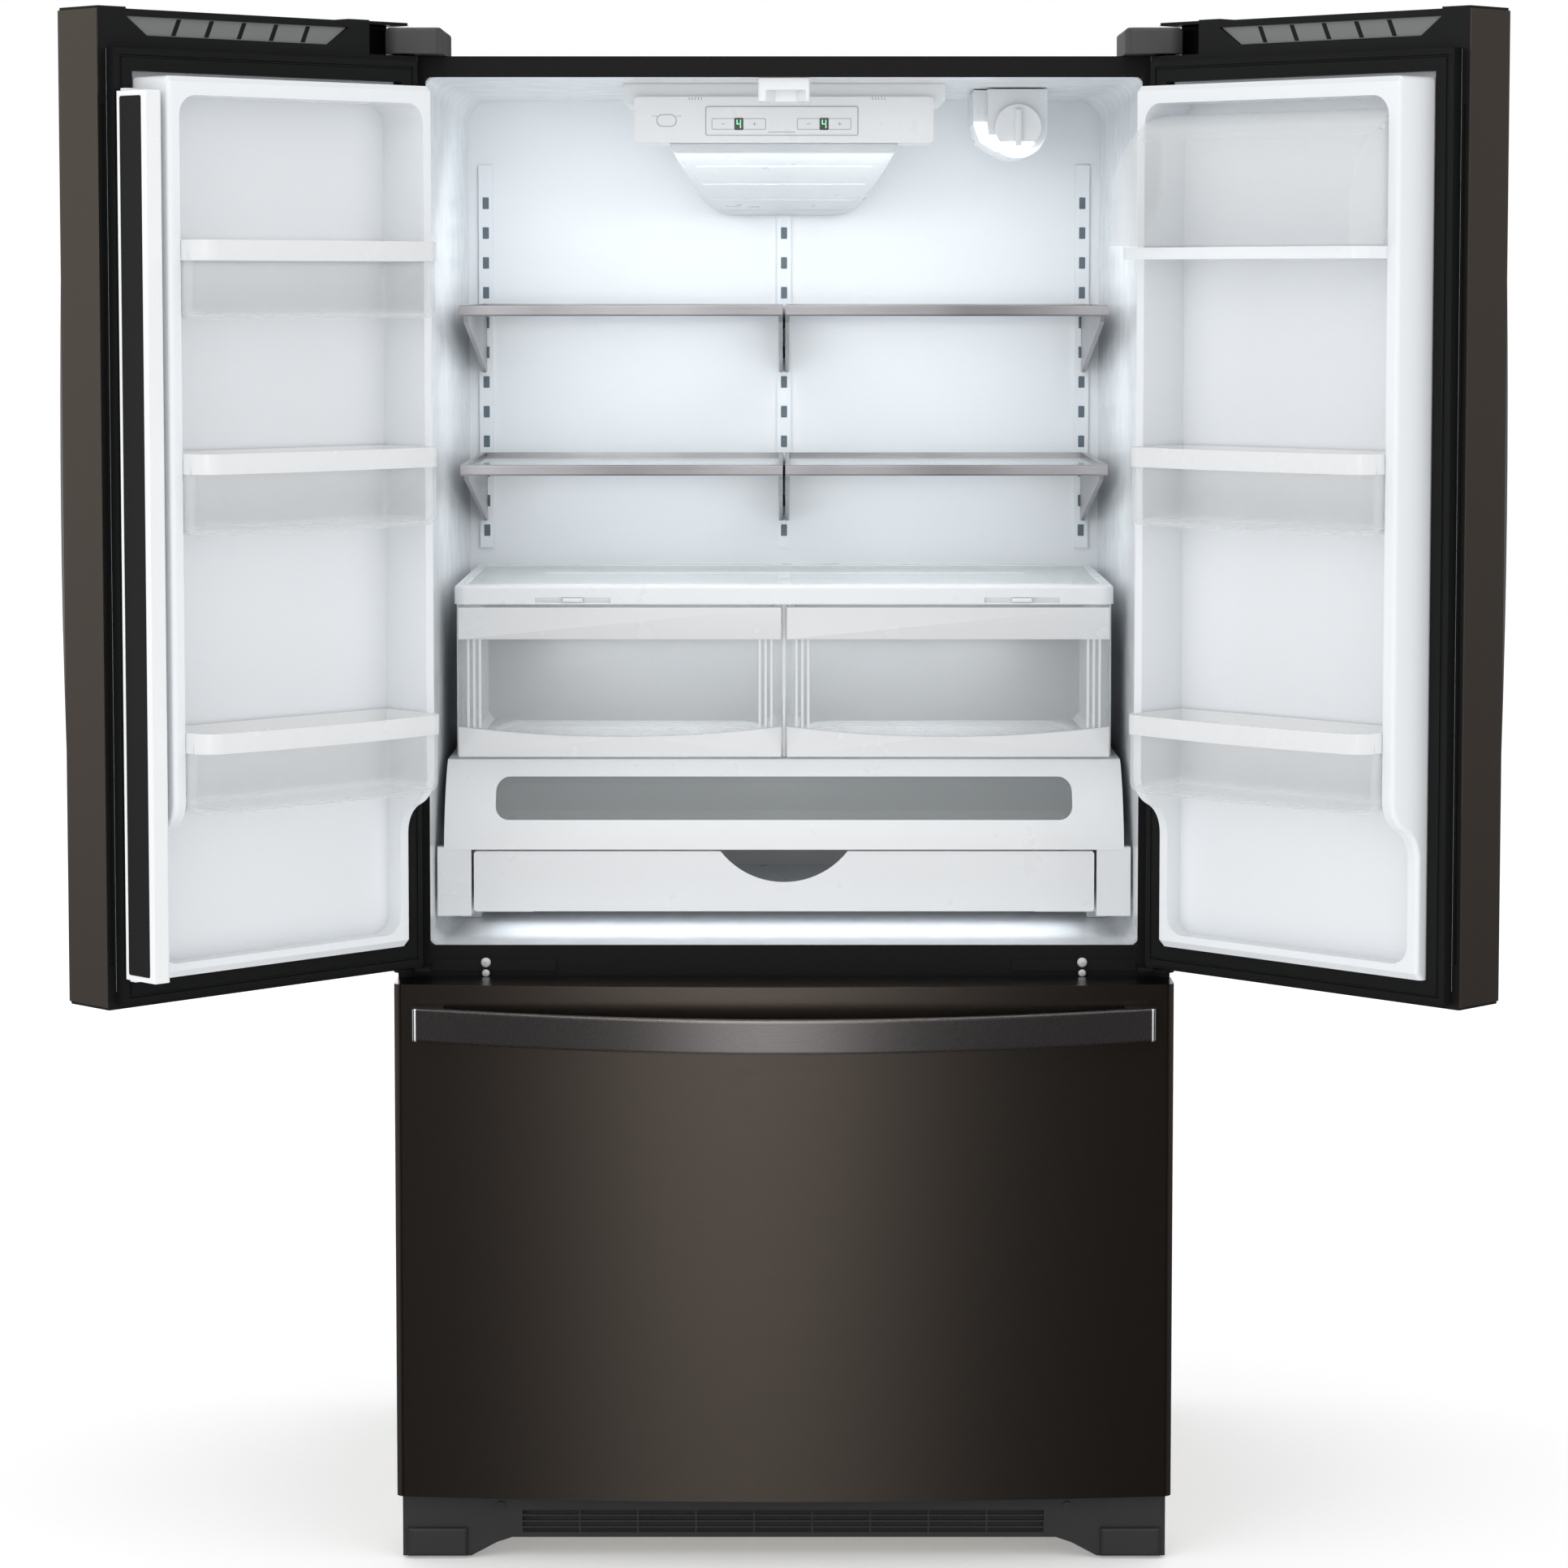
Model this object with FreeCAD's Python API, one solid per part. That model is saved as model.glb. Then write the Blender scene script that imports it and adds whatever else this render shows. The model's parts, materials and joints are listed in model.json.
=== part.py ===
import FreeCAD, Part
import math
import os

# French door bottom-freezer refrigerator, millimetres, +Z up, front faces -Y.
# Design coordinates: x = 0 on the centre line, y = 0 at the side edges of the drawer front,
# and z = 0 at the floor. Every node is moved by -depth_middle when it is written, which puts
# the origin under the middle of the object.
# The doors are modelled closed, then turned about their hinge pins to the open angle they rest at.

Vector = FreeCAD.Vector

# ---------------------------------------------------------------- driving dimensions
half_width = 452.0
depth_middle = 218.0
cabinet_front = 66.5
cabinet_back = 790.0
cabinet_top = 1750.0
cabinet_base = 92.0
steel = 1.5
plastic = 2.5

opening_half = 414.0
fridge_floor = 716.0
fridge_ceiling = 1726.0
fridge_back = 626.0
rail_bottom = 652.0
freezer_floor = 120.0
freezer_ceiling = 640.0
freezer_back = 560.0
machine_front = 600.0
machine_top = 330.0

door_bottom = 697.0
door_top = 1786.0
door_edge = 52.0
door_gap = 2.0
door_bow = 25.0
corner_radius = 10.0
hinge_x = 442.0
hinge_y = 30.0
door_open_angle = 135.0
gasket_height = 14.0
gasket_width = 24.0
gasket_inset = 12.0
gasket_bottom = 703.0
gasket_top = 1741.0

dike_outer_hinge = 410.0
dike_outer_free = 40.0
dike_width = 14.0
dike_height = 75.0
dike_low_height = 28.0
dike_curve_top = 930.0
dike_curve_bottom = 860.0
dike_bottom = 728.0
dike_top = 1710.0

bin_reach = 122.0
bin_wall = 2.5
bin_heights = {"top": (1450.0, 1535.0), "middle": (1217.0, 1305.0), "bottom": (915.0, 1003.0)}
dairy_floor = 1515.0
dairy_hinge_z = 1672.0
dairy_reach = 138.0

flap_hinge_x = -22.0
flap_hinge_y = 77.0
flap_half = 26.0
flap_front = 67.0
flap_thickness = 21.0
flap_bottom = 733.0
flap_top = 1694.0

drawer_bottom = 77.0
drawer_top = 680.0
drawer_edge = 52.0

shelf_front = 200.0
shelf_back = 612.0
shelf_half = 386.0
shelf_tops = (1463.0, 1273.0)
shelf_trim = 13.0
glass_thickness = 4.0

cover_top = 1130.0
cover_bottom = 1107.0
cover_half = 394.0
crisper_top = 1103.0
crisper_bottom = 924.0
crisper_back = 590.0
crisper_gap = 3.0

pantry_top = 921.0
pantry_split = 820.0
pantry_bottom = 747.0
pantry_front = 126.0
pantry_half = 367.0

# ---------------------------------------------------------------- shape helpers


def box(x0, x1, y0, y1, z0, z1):
    return Part.makeBox(x1 - x0, y1 - y0, z1 - z0, Vector(x0, y0, z0))


def rod(start, direction, radius, length):
    return Part.makeCylinder(radius, length, Vector(*start), Vector(*direction))


def polygon(points):
    corners = [Vector(*point) for point in points]
    return Part.makePolygon(corners + corners[:1])


def prism(points, along):
    return Part.Face(polygon(points)).extrude(Vector(*along))


def join(shapes):
    first, *rest = shapes
    return first.multiFuse(rest).removeSplitter() if rest else first


def group(shapes):
    return Part.makeCompound(shapes)


def mirrored(shape):
    return shape.mirror(Vector(0, 0, 0), Vector(1, 0, 0))


def rounded_rectangle(x0, x1, z0, z1, radius, y):
    """A closed wire in the plane y, with round corners."""
    diagonal = radius * (1 - math.sqrt(0.5))
    edges = []
    corners = [(x1, z0, -1, 1), (x1, z1, -1, -1), (x0, z1, 1, -1), (x0, z0, 1, 1)]
    last = None
    for index, (x, z, sx, sz) in enumerate(corners):
        along_x = Vector(x + sx * radius, y, z)
        along_z = Vector(x, y, z + sz * radius)
        middle = Vector(x + sx * diagonal, y, z + sz * diagonal)
        start, end = (along_x, along_z) if index % 2 == 0 else (along_z, along_x)
        if last is not None:
            edges.append(Part.LineSegment(last, start).toShape())
        else:
            first = start
        edges.append(Part.Arc(start, middle, end).toShape())
        last = end
    edges.append(Part.LineSegment(last, first).toShape())
    return Part.Wire(edges)


def tapered(front, back):
    """A solid between two rounded rectangles, each given as (x0, x1, z0, z1, radius, y)."""
    return Part.makeLoft([rounded_rectangle(*front), rounded_rectangle(*back)], True, True)


def rounded_block(x0, x1, y0, y1, z0, z1, radius):
    """A block whose corners are round as seen from the front."""
    return tapered((x0, x1, z0, z1, radius, y0), (x0, x1, z0, z1, radius, y1))


def fillet_where(shape, radius, chosen):
    """Fillet the edges whose middle point passes the test."""
    edges = [edge for edge in shape.Edges if chosen(edge.CenterOfMass, edge)]
    return shape.makeFillet(radius, edges)


def is_vertical(edge):
    low, high = edge.BoundBox.ZMin, edge.BoundBox.ZMax
    return edge.BoundBox.XLength < 0.01 and edge.BoundBox.YLength < 0.01 and high - low > 1.0


# ---------------------------------------------------------------- the bowed front


bow_radius = (half_width ** 2 + door_bow ** 2) / (2 * door_bow)
bow_centre_y = bow_radius - door_bow


def bow_y(x, inset=0.0):
    """The y of the bowed front surface at x, moved in by inset."""
    return bow_centre_y - math.sqrt((bow_radius - inset) ** 2 - x ** 2)


def bowed_block(x0, x1, y_back, z0, z1, inset=0.0):
    """A block between the bowed front and a flat back plane."""
    middle_x = (x0 + x1) / 2
    left = Vector(x0, bow_y(x0, inset), z0)
    right = Vector(x1, bow_y(x1, inset), z0)
    top = Vector(middle_x, bow_y(middle_x, inset), z0)
    back_right = Vector(x1, y_back, z0)
    back_left = Vector(x0, y_back, z0)
    edges = [
        Part.Arc(left, top, right).toShape(),
        Part.LineSegment(right, back_right).toShape(),
        Part.LineSegment(back_right, back_left).toShape(),
        Part.LineSegment(back_left, left).toShape(),
    ]
    return Part.Face(Part.Wire(edges)).extrude(Vector(0, 0, z1 - z0))


def front_corners_round(shape, radius):
    return fillet_where(shape, radius, lambda point, edge: is_vertical(edge) and point.y < door_edge / 2)


# ---------------------------------------------------------------- cabinet


def cabinet_shell():
    """Steel wrapper with its front flange, and the rail between the two compartments."""
    outer = box(-half_width, half_width, cabinet_front, cabinet_back, cabinet_base, cabinet_top)
    side = half_width - steel
    inner = box(-side, side, cabinet_front + steel, cabinet_back, cabinet_base - steel, cabinet_top - steel)
    shell = outer.cut(inner)
    fridge_hole = (-opening_half, opening_half, fridge_floor, fridge_ceiling)
    freezer_hole = (-opening_half, opening_half, freezer_floor, rail_bottom)
    for x0, x1, z0, z1 in (fridge_hole, freezer_hole):
        shell = shell.cut(box(x0, x1, cabinet_front - 1, cabinet_front + steel + 1, z0, z1))
    return shell


def fridge_cavity(inset):
    """The space inside the fridge liner, grown by inset on every side but the front."""
    front_half = opening_half + inset
    back_half = front_half - 10
    y0 = cabinet_front + steel
    front = (-front_half, front_half, fridge_floor - inset, fridge_ceiling + inset, 14 + inset, y0)
    z0 = fridge_floor - inset
    back = (-back_half, back_half, z0, fridge_ceiling + inset - 4, 30 + inset, fridge_back + inset)
    return tapered(front, back)


def freezer_cavity(inset):
    """The space inside the freezer liner; its floor steps up over the machine compartment."""
    half = opening_half + inset
    y0 = cabinet_front + steel
    y1 = freezer_back + inset
    return rounded_block(-half, half, y0, y1, freezer_floor - inset, freezer_ceiling + inset, 14 + inset)


duct_front = 505.0
fan_z = 555.0
fan_radius = 62.0
standard_columns = (-382.0, 0.0, 382.0)
slot_pitch = 38.1
standard_bottom = 1150.0
standard_top = 1640.0


def shelf_standard(x):
    """One slotted ladder on the rear wall."""
    y1 = fridge_back - 0.2
    strip = box(x - 9, x + 9, y1 - 4, y1, standard_bottom, standard_top)
    count = int((standard_top - standard_bottom - 30) / slot_pitch)
    slots = [
        box(x - 4, x + 4, y1 - 5, y1 + 1, low, low + 15)
        for low in (standard_bottom + 15 + slot_pitch * step for step in range(count))
    ]
    return strip.cut(group(slots))


def fridge_liner():
    liner = fridge_cavity(plastic).cut(fridge_cavity(0.0))
    standards = [shelf_standard(x) for x in standard_columns]
    return group([liner] + standards)


def freezer_liner():
    liner = freezer_cavity(plastic).cut(freezer_cavity(0.0))
    half = opening_half - 1
    y0, y1 = duct_front, duct_front + 4
    duct_cover = rounded_block(-half, half, y0, y1, freezer_floor + 4, freezer_ceiling - 1, 14)
    duct_cover = duct_cover.cut(rod((0, y0 - 1, fan_z), (0, 1, 0), fan_radius + 4, 6))
    slots = [box(-260, 260, y0 - 1, y1 + 1, z, z + 8) for z in (150, 170, 190)]
    ribs = [box(x - 1.5, x + 1.5, y0 - 1, y1 + 1, 100, 700) for x in range(-240, 241, 60)]
    duct_cover = duct_cover.cut(group(slots).cut(group(ribs)))
    bars = [
        box(-fan_radius - 8, fan_radius + 8, y0, y0 + 2, fan_z + z, fan_z + z + 4)
        for z in range(-42, 42, 20)
    ]
    return group([liner, join([duct_cover] + bars)])


def cabinet_foam():
    side = half_width - steel - 0.1
    y0 = cabinet_front + steel + 0.1
    foam = box(-side, side, y0, cabinet_back - 3, cabinet_base + 6, cabinet_top - steel - 0.1)
    foam = foam.cut(fridge_cavity(plastic + 0.1))
    foam = foam.cut(freezer_cavity(plastic + 0.1))
    foam = foam.cut(box(-side - 1, side + 1, machine_front, cabinet_back, 0, machine_top))
    front_strip = box(-side - 1, side + 1, y0 - 1, cabinet_front + 12, 0, 2000)
    return foam.cut(front_strip)


def back_panel():
    half = half_width - steel - 0.3
    y0 = cabinet_back - 2.5
    panel = box(-half, half, y0, y0 + 1.2, machine_top + 2, cabinet_top - steel - 0.3)
    beads = [box(x - 12, x + 12, y0 + 1.2, y0 + 2.5, 420, 1660) for x in (-300, -100, 100, 300)]
    return join([panel] + beads)


inlet_x = -330.0
inlet_z = 180.0
inlet_radius = 9.5
inlet_length = 15.0


def machine_cover():
    """Louvred rear cover with the cord gland, and the water inlet valve mounted on it."""
    half = half_width - steel - 6
    y1 = cabinet_back - 1.5
    y0 = y1 - 2
    cover = rounded_block(-half, half, y0, y1, cabinet_base + 12, machine_top - 2, 12)
    louvres = [
        box(x, x + 60, y0 - 1, y1 + 1, z, z + 5)
        for x in range(-250, 340, 80)
        for z in range(130, 300, 15)
    ]
    cover = cover.cut(group(louvres))
    gland = rod((380, y1, 150), (0, 1, 0), 11, 1.4).fuse(rod((380, y1 - 14, 150), (0, 1, 0), 8, 14))
    cover = cover.cut(rod((380, y0 - 1, 150), (0, 1, 0), 8, 5))
    gland = gland.cut(rod((380, y1 - 15, 150), (0, 1, 0), 4, 20))
    cover = cover.cut(box(inlet_x - 26, inlet_x + 26, y0 - 1, y1 + 1, inlet_z - 26, inlet_z + 26))
    valve_front = cabinet_back - inlet_length
    valve_body = box(inlet_x - 22, inlet_x + 22, valve_front - 46, valve_front, inlet_z - 25, inlet_z + 25)
    spigot = rod((inlet_x, valve_front - 1, inlet_z), (0, 1, 0), inlet_radius, inlet_length + 1)
    valve = join([valve_body, spigot]).cut(rod((inlet_x, valve_front - 10, inlet_z), (0, 1, 0), 5, 40))
    bracket = box(inlet_x - 30, inlet_x - 22.5, valve_front - 40, y0 - 0.1, inlet_z - 34, inlet_z + 34)
    strap = box(inlet_x - 30, inlet_x + 22, valve_front - 30, valve_front - 20, inlet_z + 25, inlet_z + 28)
    return group([cover, gland, join([valve, bracket, strap])])


# ---------------------------------------------------------------- base and running gear


roller_radius = 22.0
front_roller_y = 150.0
rear_roller_y = 700.0
roller_x = 392.0
leg_y = 105.0


def base_frame():
    """Two side rails joined by cross members and the floor tray of the machine compartment."""
    rails = []
    for sign in (-1, 1):
        for offset in (-17, 14):
            x = sign * roller_x + offset
            rails.append(box(x, x + 3, cabinet_front + 20, cabinet_back - 10, 20, cabinet_base - 4))
        x = sign * roller_x
        rails.append(
            box(x - 17, x + 17, cabinet_front + 20, cabinet_back - 10, cabinet_base - 4, cabinet_base - 1)
        )
    tray = box(-roller_x, roller_x, machine_front + 20, cabinet_back - 10, cabinet_base - 6, cabinet_base - 3)
    front_member = box(
        -roller_x, roller_x, cabinet_front + 24, cabinet_front + 60, cabinet_base - 4, cabinet_base - 1
    )
    frame = join(rails + [tray, front_member])
    axles = []
    for y, z in ((front_roller_y, roller_radius + 2), (rear_roller_y, roller_radius)):
        for sign in (-1, 1):
            axles.append(rod((sign * roller_x - 20, y, z), (1, 0, 0), 4, 40))
    return join([frame] + axles)


def roller_pair(y, z):
    wheels = []
    for sign in (-1, 1):
        start = (sign * roller_x - 11, y, z)
        wheel = rod(start, (1, 0, 0), roller_radius, 22)
        groove = rod((sign * roller_x - 3, y, z), (1, 0, 0), roller_radius + 1, 6)
        groove = groove.cut(rod((sign * roller_x - 3, y, z), (1, 0, 0), roller_radius - 3, 6))
        hole = rod((sign * roller_x - 12, y, z), (1, 0, 0), 4.05, 24)
        wheels.append(wheel.cut(groove).cut(hole))
    return group(wheels)


def levelling_legs():
    legs = []
    for sign in (-1, 1):
        x = sign * roller_x
        pad = Part.makeCone(19, 15, 10, Vector(x, leg_y, 0))
        hexagon = Part.Face(Part.Wire(Part.makeCircle(9, Vector(x, leg_y, 10)))).extrude(Vector(0, 0, 8))
        screw = rod((x, leg_y, 18), (0, 0, 1), 5, cabinet_base - 4 - 18)
        legs.append(join([pad, hexagon, screw]))
    return group(legs)


grille_front = 12.0
grille_top = 74.0
grille_low = 25.0
foot_outer = 446.0
foot_low = 3.0
foot_inner = 366.0
arch_x = 318.0
grille_skin = 3.0
slot_lows = (31.0, 38.0, 45.0, 52.0)
slot_starts = (-306.0, -238.0, -170.0, -102.0, -34.0, 34.0, 102.0, 170.0, 238.0)
slot_length = 66.0
slot_height = 5.2


def grille_outline(grow, y):
    """Front outline of the toe piece: two feet joined by a band, with an arch between them."""
    top = grille_top + grow
    low = foot_low + grow * 2
    corners = [(-foot_outer - grow, top), (-foot_outer - grow, low), (-foot_inner + grow, low)]
    corners += [(-foot_inner + 30, grille_low - 6 + grow), (-arch_x, grille_low + grow)]
    corners += [(-x, z) for x, z in reversed(corners)]
    return [(x, y, z) for x, z in corners]


def base_grille():
    """One-piece toe grille with a foot at each side, a dark baffle behind the slots, and two screws."""
    y0 = grille_front
    face = prism(grille_outline(0.0, y0), (0, grille_skin, 0))
    slots = [
        box(x, x + slot_length, y0 - 1, y0 + grille_skin + 1, z, z + slot_height)
        for z in slot_lows
        for x in slot_starts
    ]
    face = face.cut(group(slots))
    rim = prism(grille_outline(0.0, y0 + 1), (0, 58, 0)).cut(
        prism(grille_outline(-grille_skin, y0), (0, 60, 0))
    )
    rim = rim.cut(box(-arch_x, arch_x, y0 + 22, y0 + 60, 0, grille_top - grille_skin))
    baffle = box(-arch_x, arch_x, y0 + 18, y0 + 20, grille_low + 1, grille_top - 1)
    toes, screws = [], []
    for sign in (-1, 1):
        x0, x1 = sorted((sign * (foot_outer - 6), sign * (foot_inner + 4)))
        toe = box(x0, x1, y0 - 5, y0 + 1, foot_low, foot_low + 34)
        toes.append(fillet_where(toe, 4, lambda point, edge: point.y < y0 - 4.9))
        screws.append(rod((sign * 331, y0 - 2.5, grille_top - 11), (0, 1, 0), 4.5, 3.5))
    return join([face, rim, baffle] + toes + screws)


# ---------------------------------------------------------------- refrigeration and fans


def coil(x0, x1, y, z0, rows, pitch, radius):
    """A serpentine tube in a vertical plane: straight runs joined by half-circle bends."""
    edges = []
    for row in range(rows):
        z = z0 + row * pitch
        start, end = (x0, x1) if row % 2 == 0 else (x1, x0)
        edges.append(Part.LineSegment(Vector(start, y, z), Vector(end, y, z)).toShape())
        if row < rows - 1:
            side = pitch / 2 if end == x1 else -pitch / 2
            bend = Part.Arc(
                Vector(end, y, z), Vector(end + side, y, z + pitch / 2), Vector(end, y, z + pitch)
            )
            edges.append(bend.toShape())
    path = Part.Wire(edges)
    profile = Part.Wire(Part.makeCircle(radius, Vector(x0, y, z0), Vector(1, 0, 0)))
    return path.makePipeShell([profile], True, False)


compressor_x = 250.0
compressor_y = 695.0


def sealed_system():
    """Compressor, condenser coil behind the toe of the machine compartment, and evaporator coil."""
    z0 = cabinet_base - 1
    shell = Part.makeCylinder(72, 90, Vector(compressor_x, compressor_y, z0 + 22))
    shell = fillet_where(shell, 30, lambda point, edge: True)
    foot = box(compressor_x - 85, compressor_x + 85, compressor_y - 60, compressor_y + 60, z0 + 16, z0 + 20)
    pads = [
        rod((compressor_x + dx, compressor_y + dy, z0 - 2), (0, 0, 1), 9, 18.5)
        for dx in (-72, 72)
        for dy in (-48, 48)
    ]
    neck = rod((compressor_x, compressor_y, z0 + 19), (0, 0, 1), 50, 30)
    compressor = join([shell, foot, neck] + pads)
    condenser = coil(-230, -20, 690, z0 + 12, 8, 24, 4)
    evaporator = coil(-300, 300, 532, 260, 10, 24, 5)
    fins = [box(x, x + 1.5, 515, 549, 250, 486) for x in range(-280, 281, 40)]
    return group([compressor, condenser, join([evaporator] + fins)])


def fan_rotor(centre, radius, depth):
    """A hub with five pitched blades, turning about y."""
    x, y, z = centre
    hub_radius = radius * 0.3
    hub = rod((x, y, z), (0, 1, 0), hub_radius, depth)
    blades = []
    for turn in range(5):
        blade = box(x - 9, x + 9, y + 3, y + 5.5, z + hub_radius - 3, z + radius)
        blade.rotate(Vector(x, y + 4, z), Vector(0, 0, 1), 24)
        blade.rotate(Vector(x, y, z), Vector(0, 1, 0), 72 * turn)
        blades.append(blade)
    return join([hub] + blades)


condenser_fan_centre = (90.0, 690.0, 185.0)
evaporator_fan_centre = (0.0, 512.0, fan_z)


def fan_motor(centre, depth, reach):
    """A motor behind the rotor with a bracket that reaches up or down to its support."""
    x, y, z = centre
    can = rod((x, y + depth + 1.0, z), (0, 1, 0), 16, 18)
    leg = box(x - 8, x + 8, y + depth + 6, y + depth + 10, min(z, reach), max(z, reach))
    return join([can, leg])


# ---------------------------------------------------------------- fridge interior


panel_half = 177.0
panel_front = 195.0
panel_bottom = 1655.0
panel_top = 1709.0
pad_width = 26.0
pad_height = 12.0
pad_z = 1677.0
pads = {"freezer_minus": -72.0, "freezer_plus": -35.0, "fridge_minus": 29.0, "fridge_plus": 66.0}
display_centres = (-53.5, 47.5)
display_half = 5.0
alarm_x = -139.0
alarm_z = 1681.0


def control_panel():
    """Ceiling housing with pockets for the pads and two dark digit windows."""
    body = rounded_block(-panel_half, panel_half, panel_front, 300, panel_bottom, panel_top, 5)
    flange = box(-panel_half - 14, panel_half + 14, panel_front + 8, 480, panel_top - 4, fridge_ceiling - 4.5)
    lip = box(
        -panel_half - 14,
        panel_half + 14,
        panel_front + 8,
        panel_front + 30,
        panel_top - 4,
        fridge_ceiling - 1.3,
    )
    body = join([body, flange, lip])
    body = body.cut(box(-panel_half + 3, panel_half - 3, panel_front + 9, 290, panel_bottom + 3, panel_top))
    body = body.cut(box(-panel_half, panel_half, 305, 470, panel_top - 5, panel_top + 4))
    depth = 8.0
    frame = rounded_block(-92, 87, panel_front - 0.6, panel_front + 1, 1663, 1697, 2)
    frame = frame.cut(rounded_block(-91, 86, panel_front - 1, panel_front, 1664, 1696, 2))
    body = join([body, frame])
    for x in pads.values():
        x0, x1 = x - pad_width / 2 - 0.3, x + pad_width / 2 + 0.3
        z0, z1 = pad_z - pad_height / 2 - 0.3, pad_z + pad_height / 2 + 0.3
        body = body.cut(box(x0, x1, panel_front - 2, panel_front + depth, z0, z1))
    body = body.cut(oval(alarm_x, alarm_z, panel_front - 2, panel_front + depth, 0.3))
    windows = []
    for x in display_centres:
        x0, x1 = x - display_half, x + display_half
        body = body.cut(box(x0, x1, panel_front - 2, panel_front + 3, pad_z - 7, pad_z + 7))
        windows.append(box(x0, x1, panel_front + 0.4, panel_front + 3, pad_z - 7, pad_z + 7))
    return group([body] + windows)


def oval(x, z, y0, y1, grow=0.0):
    half = 11.0 + grow
    return rounded_block(x - half, x + half, y0, y1, z - 6.5 - grow, z + 6.5 + grow, 6.4 + grow)


def panel_pad(x):
    z0, z1 = pad_z - pad_height / 2, pad_z + pad_height / 2
    return rounded_block(
        x - pad_width / 2, x + pad_width / 2, panel_front - 0.5, panel_front + 6, z0, z1, 1.5
    )


def alarm_button():
    return oval(alarm_x, alarm_z, panel_front - 0.5, panel_front + 6)


lens_front = 222.0
lens_back = 620.0
lens_top = panel_bottom - 0.4
lens_half_front = 136.0
lens_half_back = 99.0
lens_drop = 78.0
lens_slats = (318.0, 392.0, 466.0, 540.0)


def lens_part(y):
    """How far back along the lens y is, from 0 at its front edge to 1 at the rear wall."""
    return (y - lens_front) / (lens_back - lens_front)


def lens_low(y):
    """The height of the underside of the lens at y."""
    return lens_top - 2.5 - (lens_drop - 2.5) * math.sin(lens_part(y) * math.pi / 2) ** 1.3


def lens_half(y):
    return lens_half_front - (lens_half_front - lens_half_back) * lens_part(y) ** 1.4


def lens_section(y):
    """Cross-section of the lens at y: flat on top, round at the two lower corners."""
    half, low = lens_half(y), lens_low(y)
    radius = min(34.0, 0.6 * (lens_top - low))
    diagonal = radius * (1 - math.sqrt(0.5))
    left_high, left_side = Vector(-half, y, lens_top), Vector(-half, y, low + radius)
    right_high, right_side = Vector(half, y, lens_top), Vector(half, y, low + radius)
    left_low, right_low = Vector(-half + radius, y, low), Vector(half - radius, y, low)
    edges = [
        Part.LineSegment(left_high, left_side).toShape(),
        Part.Arc(left_side, Vector(-half + diagonal, y, low + diagonal), left_low).toShape(),
        Part.LineSegment(left_low, right_low).toShape(),
        Part.Arc(right_low, Vector(half - diagonal, y, low + diagonal), right_side).toShape(),
        Part.LineSegment(right_side, right_high).toShape(),
        Part.LineSegment(right_high, left_high).toShape(),
    ]
    return Part.Wire(edges)


def light_lens():
    """A translucent scoop that falls from under the control housing to the rear wall, with cross slats."""
    steps = 8
    stations = [lens_front + (lens_back - lens_front) * step / steps for step in range(steps + 1)]
    scoop = Part.makeLoft([lens_section(y) for y in stations], True, True)
    grooves = []
    for y in lens_slats:
        half, low = lens_half(y) - 24, lens_low(y)
        grooves.append(box(-half, half, y, y + 5, low - 12, low + 4))
    lamp_box = box(-lens_half_back, lens_half_back, 303, lens_back, lens_top - 1, panel_top - 6)
    return join([scoop.cut(group(grooves)), lamp_box])


filter_x = 282.0
filter_z = 1676.0
filter_radius = 26.0


def filter_housing():
    """A cup under the ceiling that holds the water filter, open at the front."""
    ceiling = fridge_ceiling - 3.3
    cup = rod((filter_x, 300, filter_z), (0, 1, 0), 36, 200)
    saddle = box(filter_x - 36, filter_x + 36, 300, 500, filter_z, ceiling)
    x = filter_x - 30
    side = [(x, 330, ceiling), (x - 22, 330, ceiling), (x - 22, 330, filter_z + 6)]
    side += [(x - 14, 330, filter_z - 16), (x + 6, 330, filter_z - 28)]
    body = join([cup, saddle, prism(side, (0, 164, 0))])
    bore = rod((filter_x, 299, filter_z), (0, 1, 0), filter_radius + 0.5, 190)
    return body.cut(bore)


def water_filter():
    """The filter cartridge with a winged cap at its front."""
    cartridge = rod((filter_x, 296, filter_z), (0, 1, 0), filter_radius, 190)
    cap = rod((filter_x, 286, filter_z), (0, 1, 0), 28, 12)
    wing = box(filter_x - 4, filter_x + 4, 276, 290, filter_z - 22, filter_z + 22)
    wing = fillet_where(wing, 3, lambda point, edge: point.y < 277 or is_vertical(edge))
    return join([cartridge, cap, wing])


def mullion_guide():
    """The block under the front edge of the ceiling that turns the mullion flap."""
    block = box(-30, 30, 75, 118, flap_top + 5, fridge_ceiling - 0.5)
    block = fillet_where(block, 3, lambda point, edge: is_vertical(edge))
    pocket = prism([(-22, 74, 0), (26, 74, 0), (14, 92, 0), (-10, 92, 0)], (0, 0, 14))
    pocket.translate(Vector(0, 0, flap_top + 4))
    return block.cut(pocket)


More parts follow.
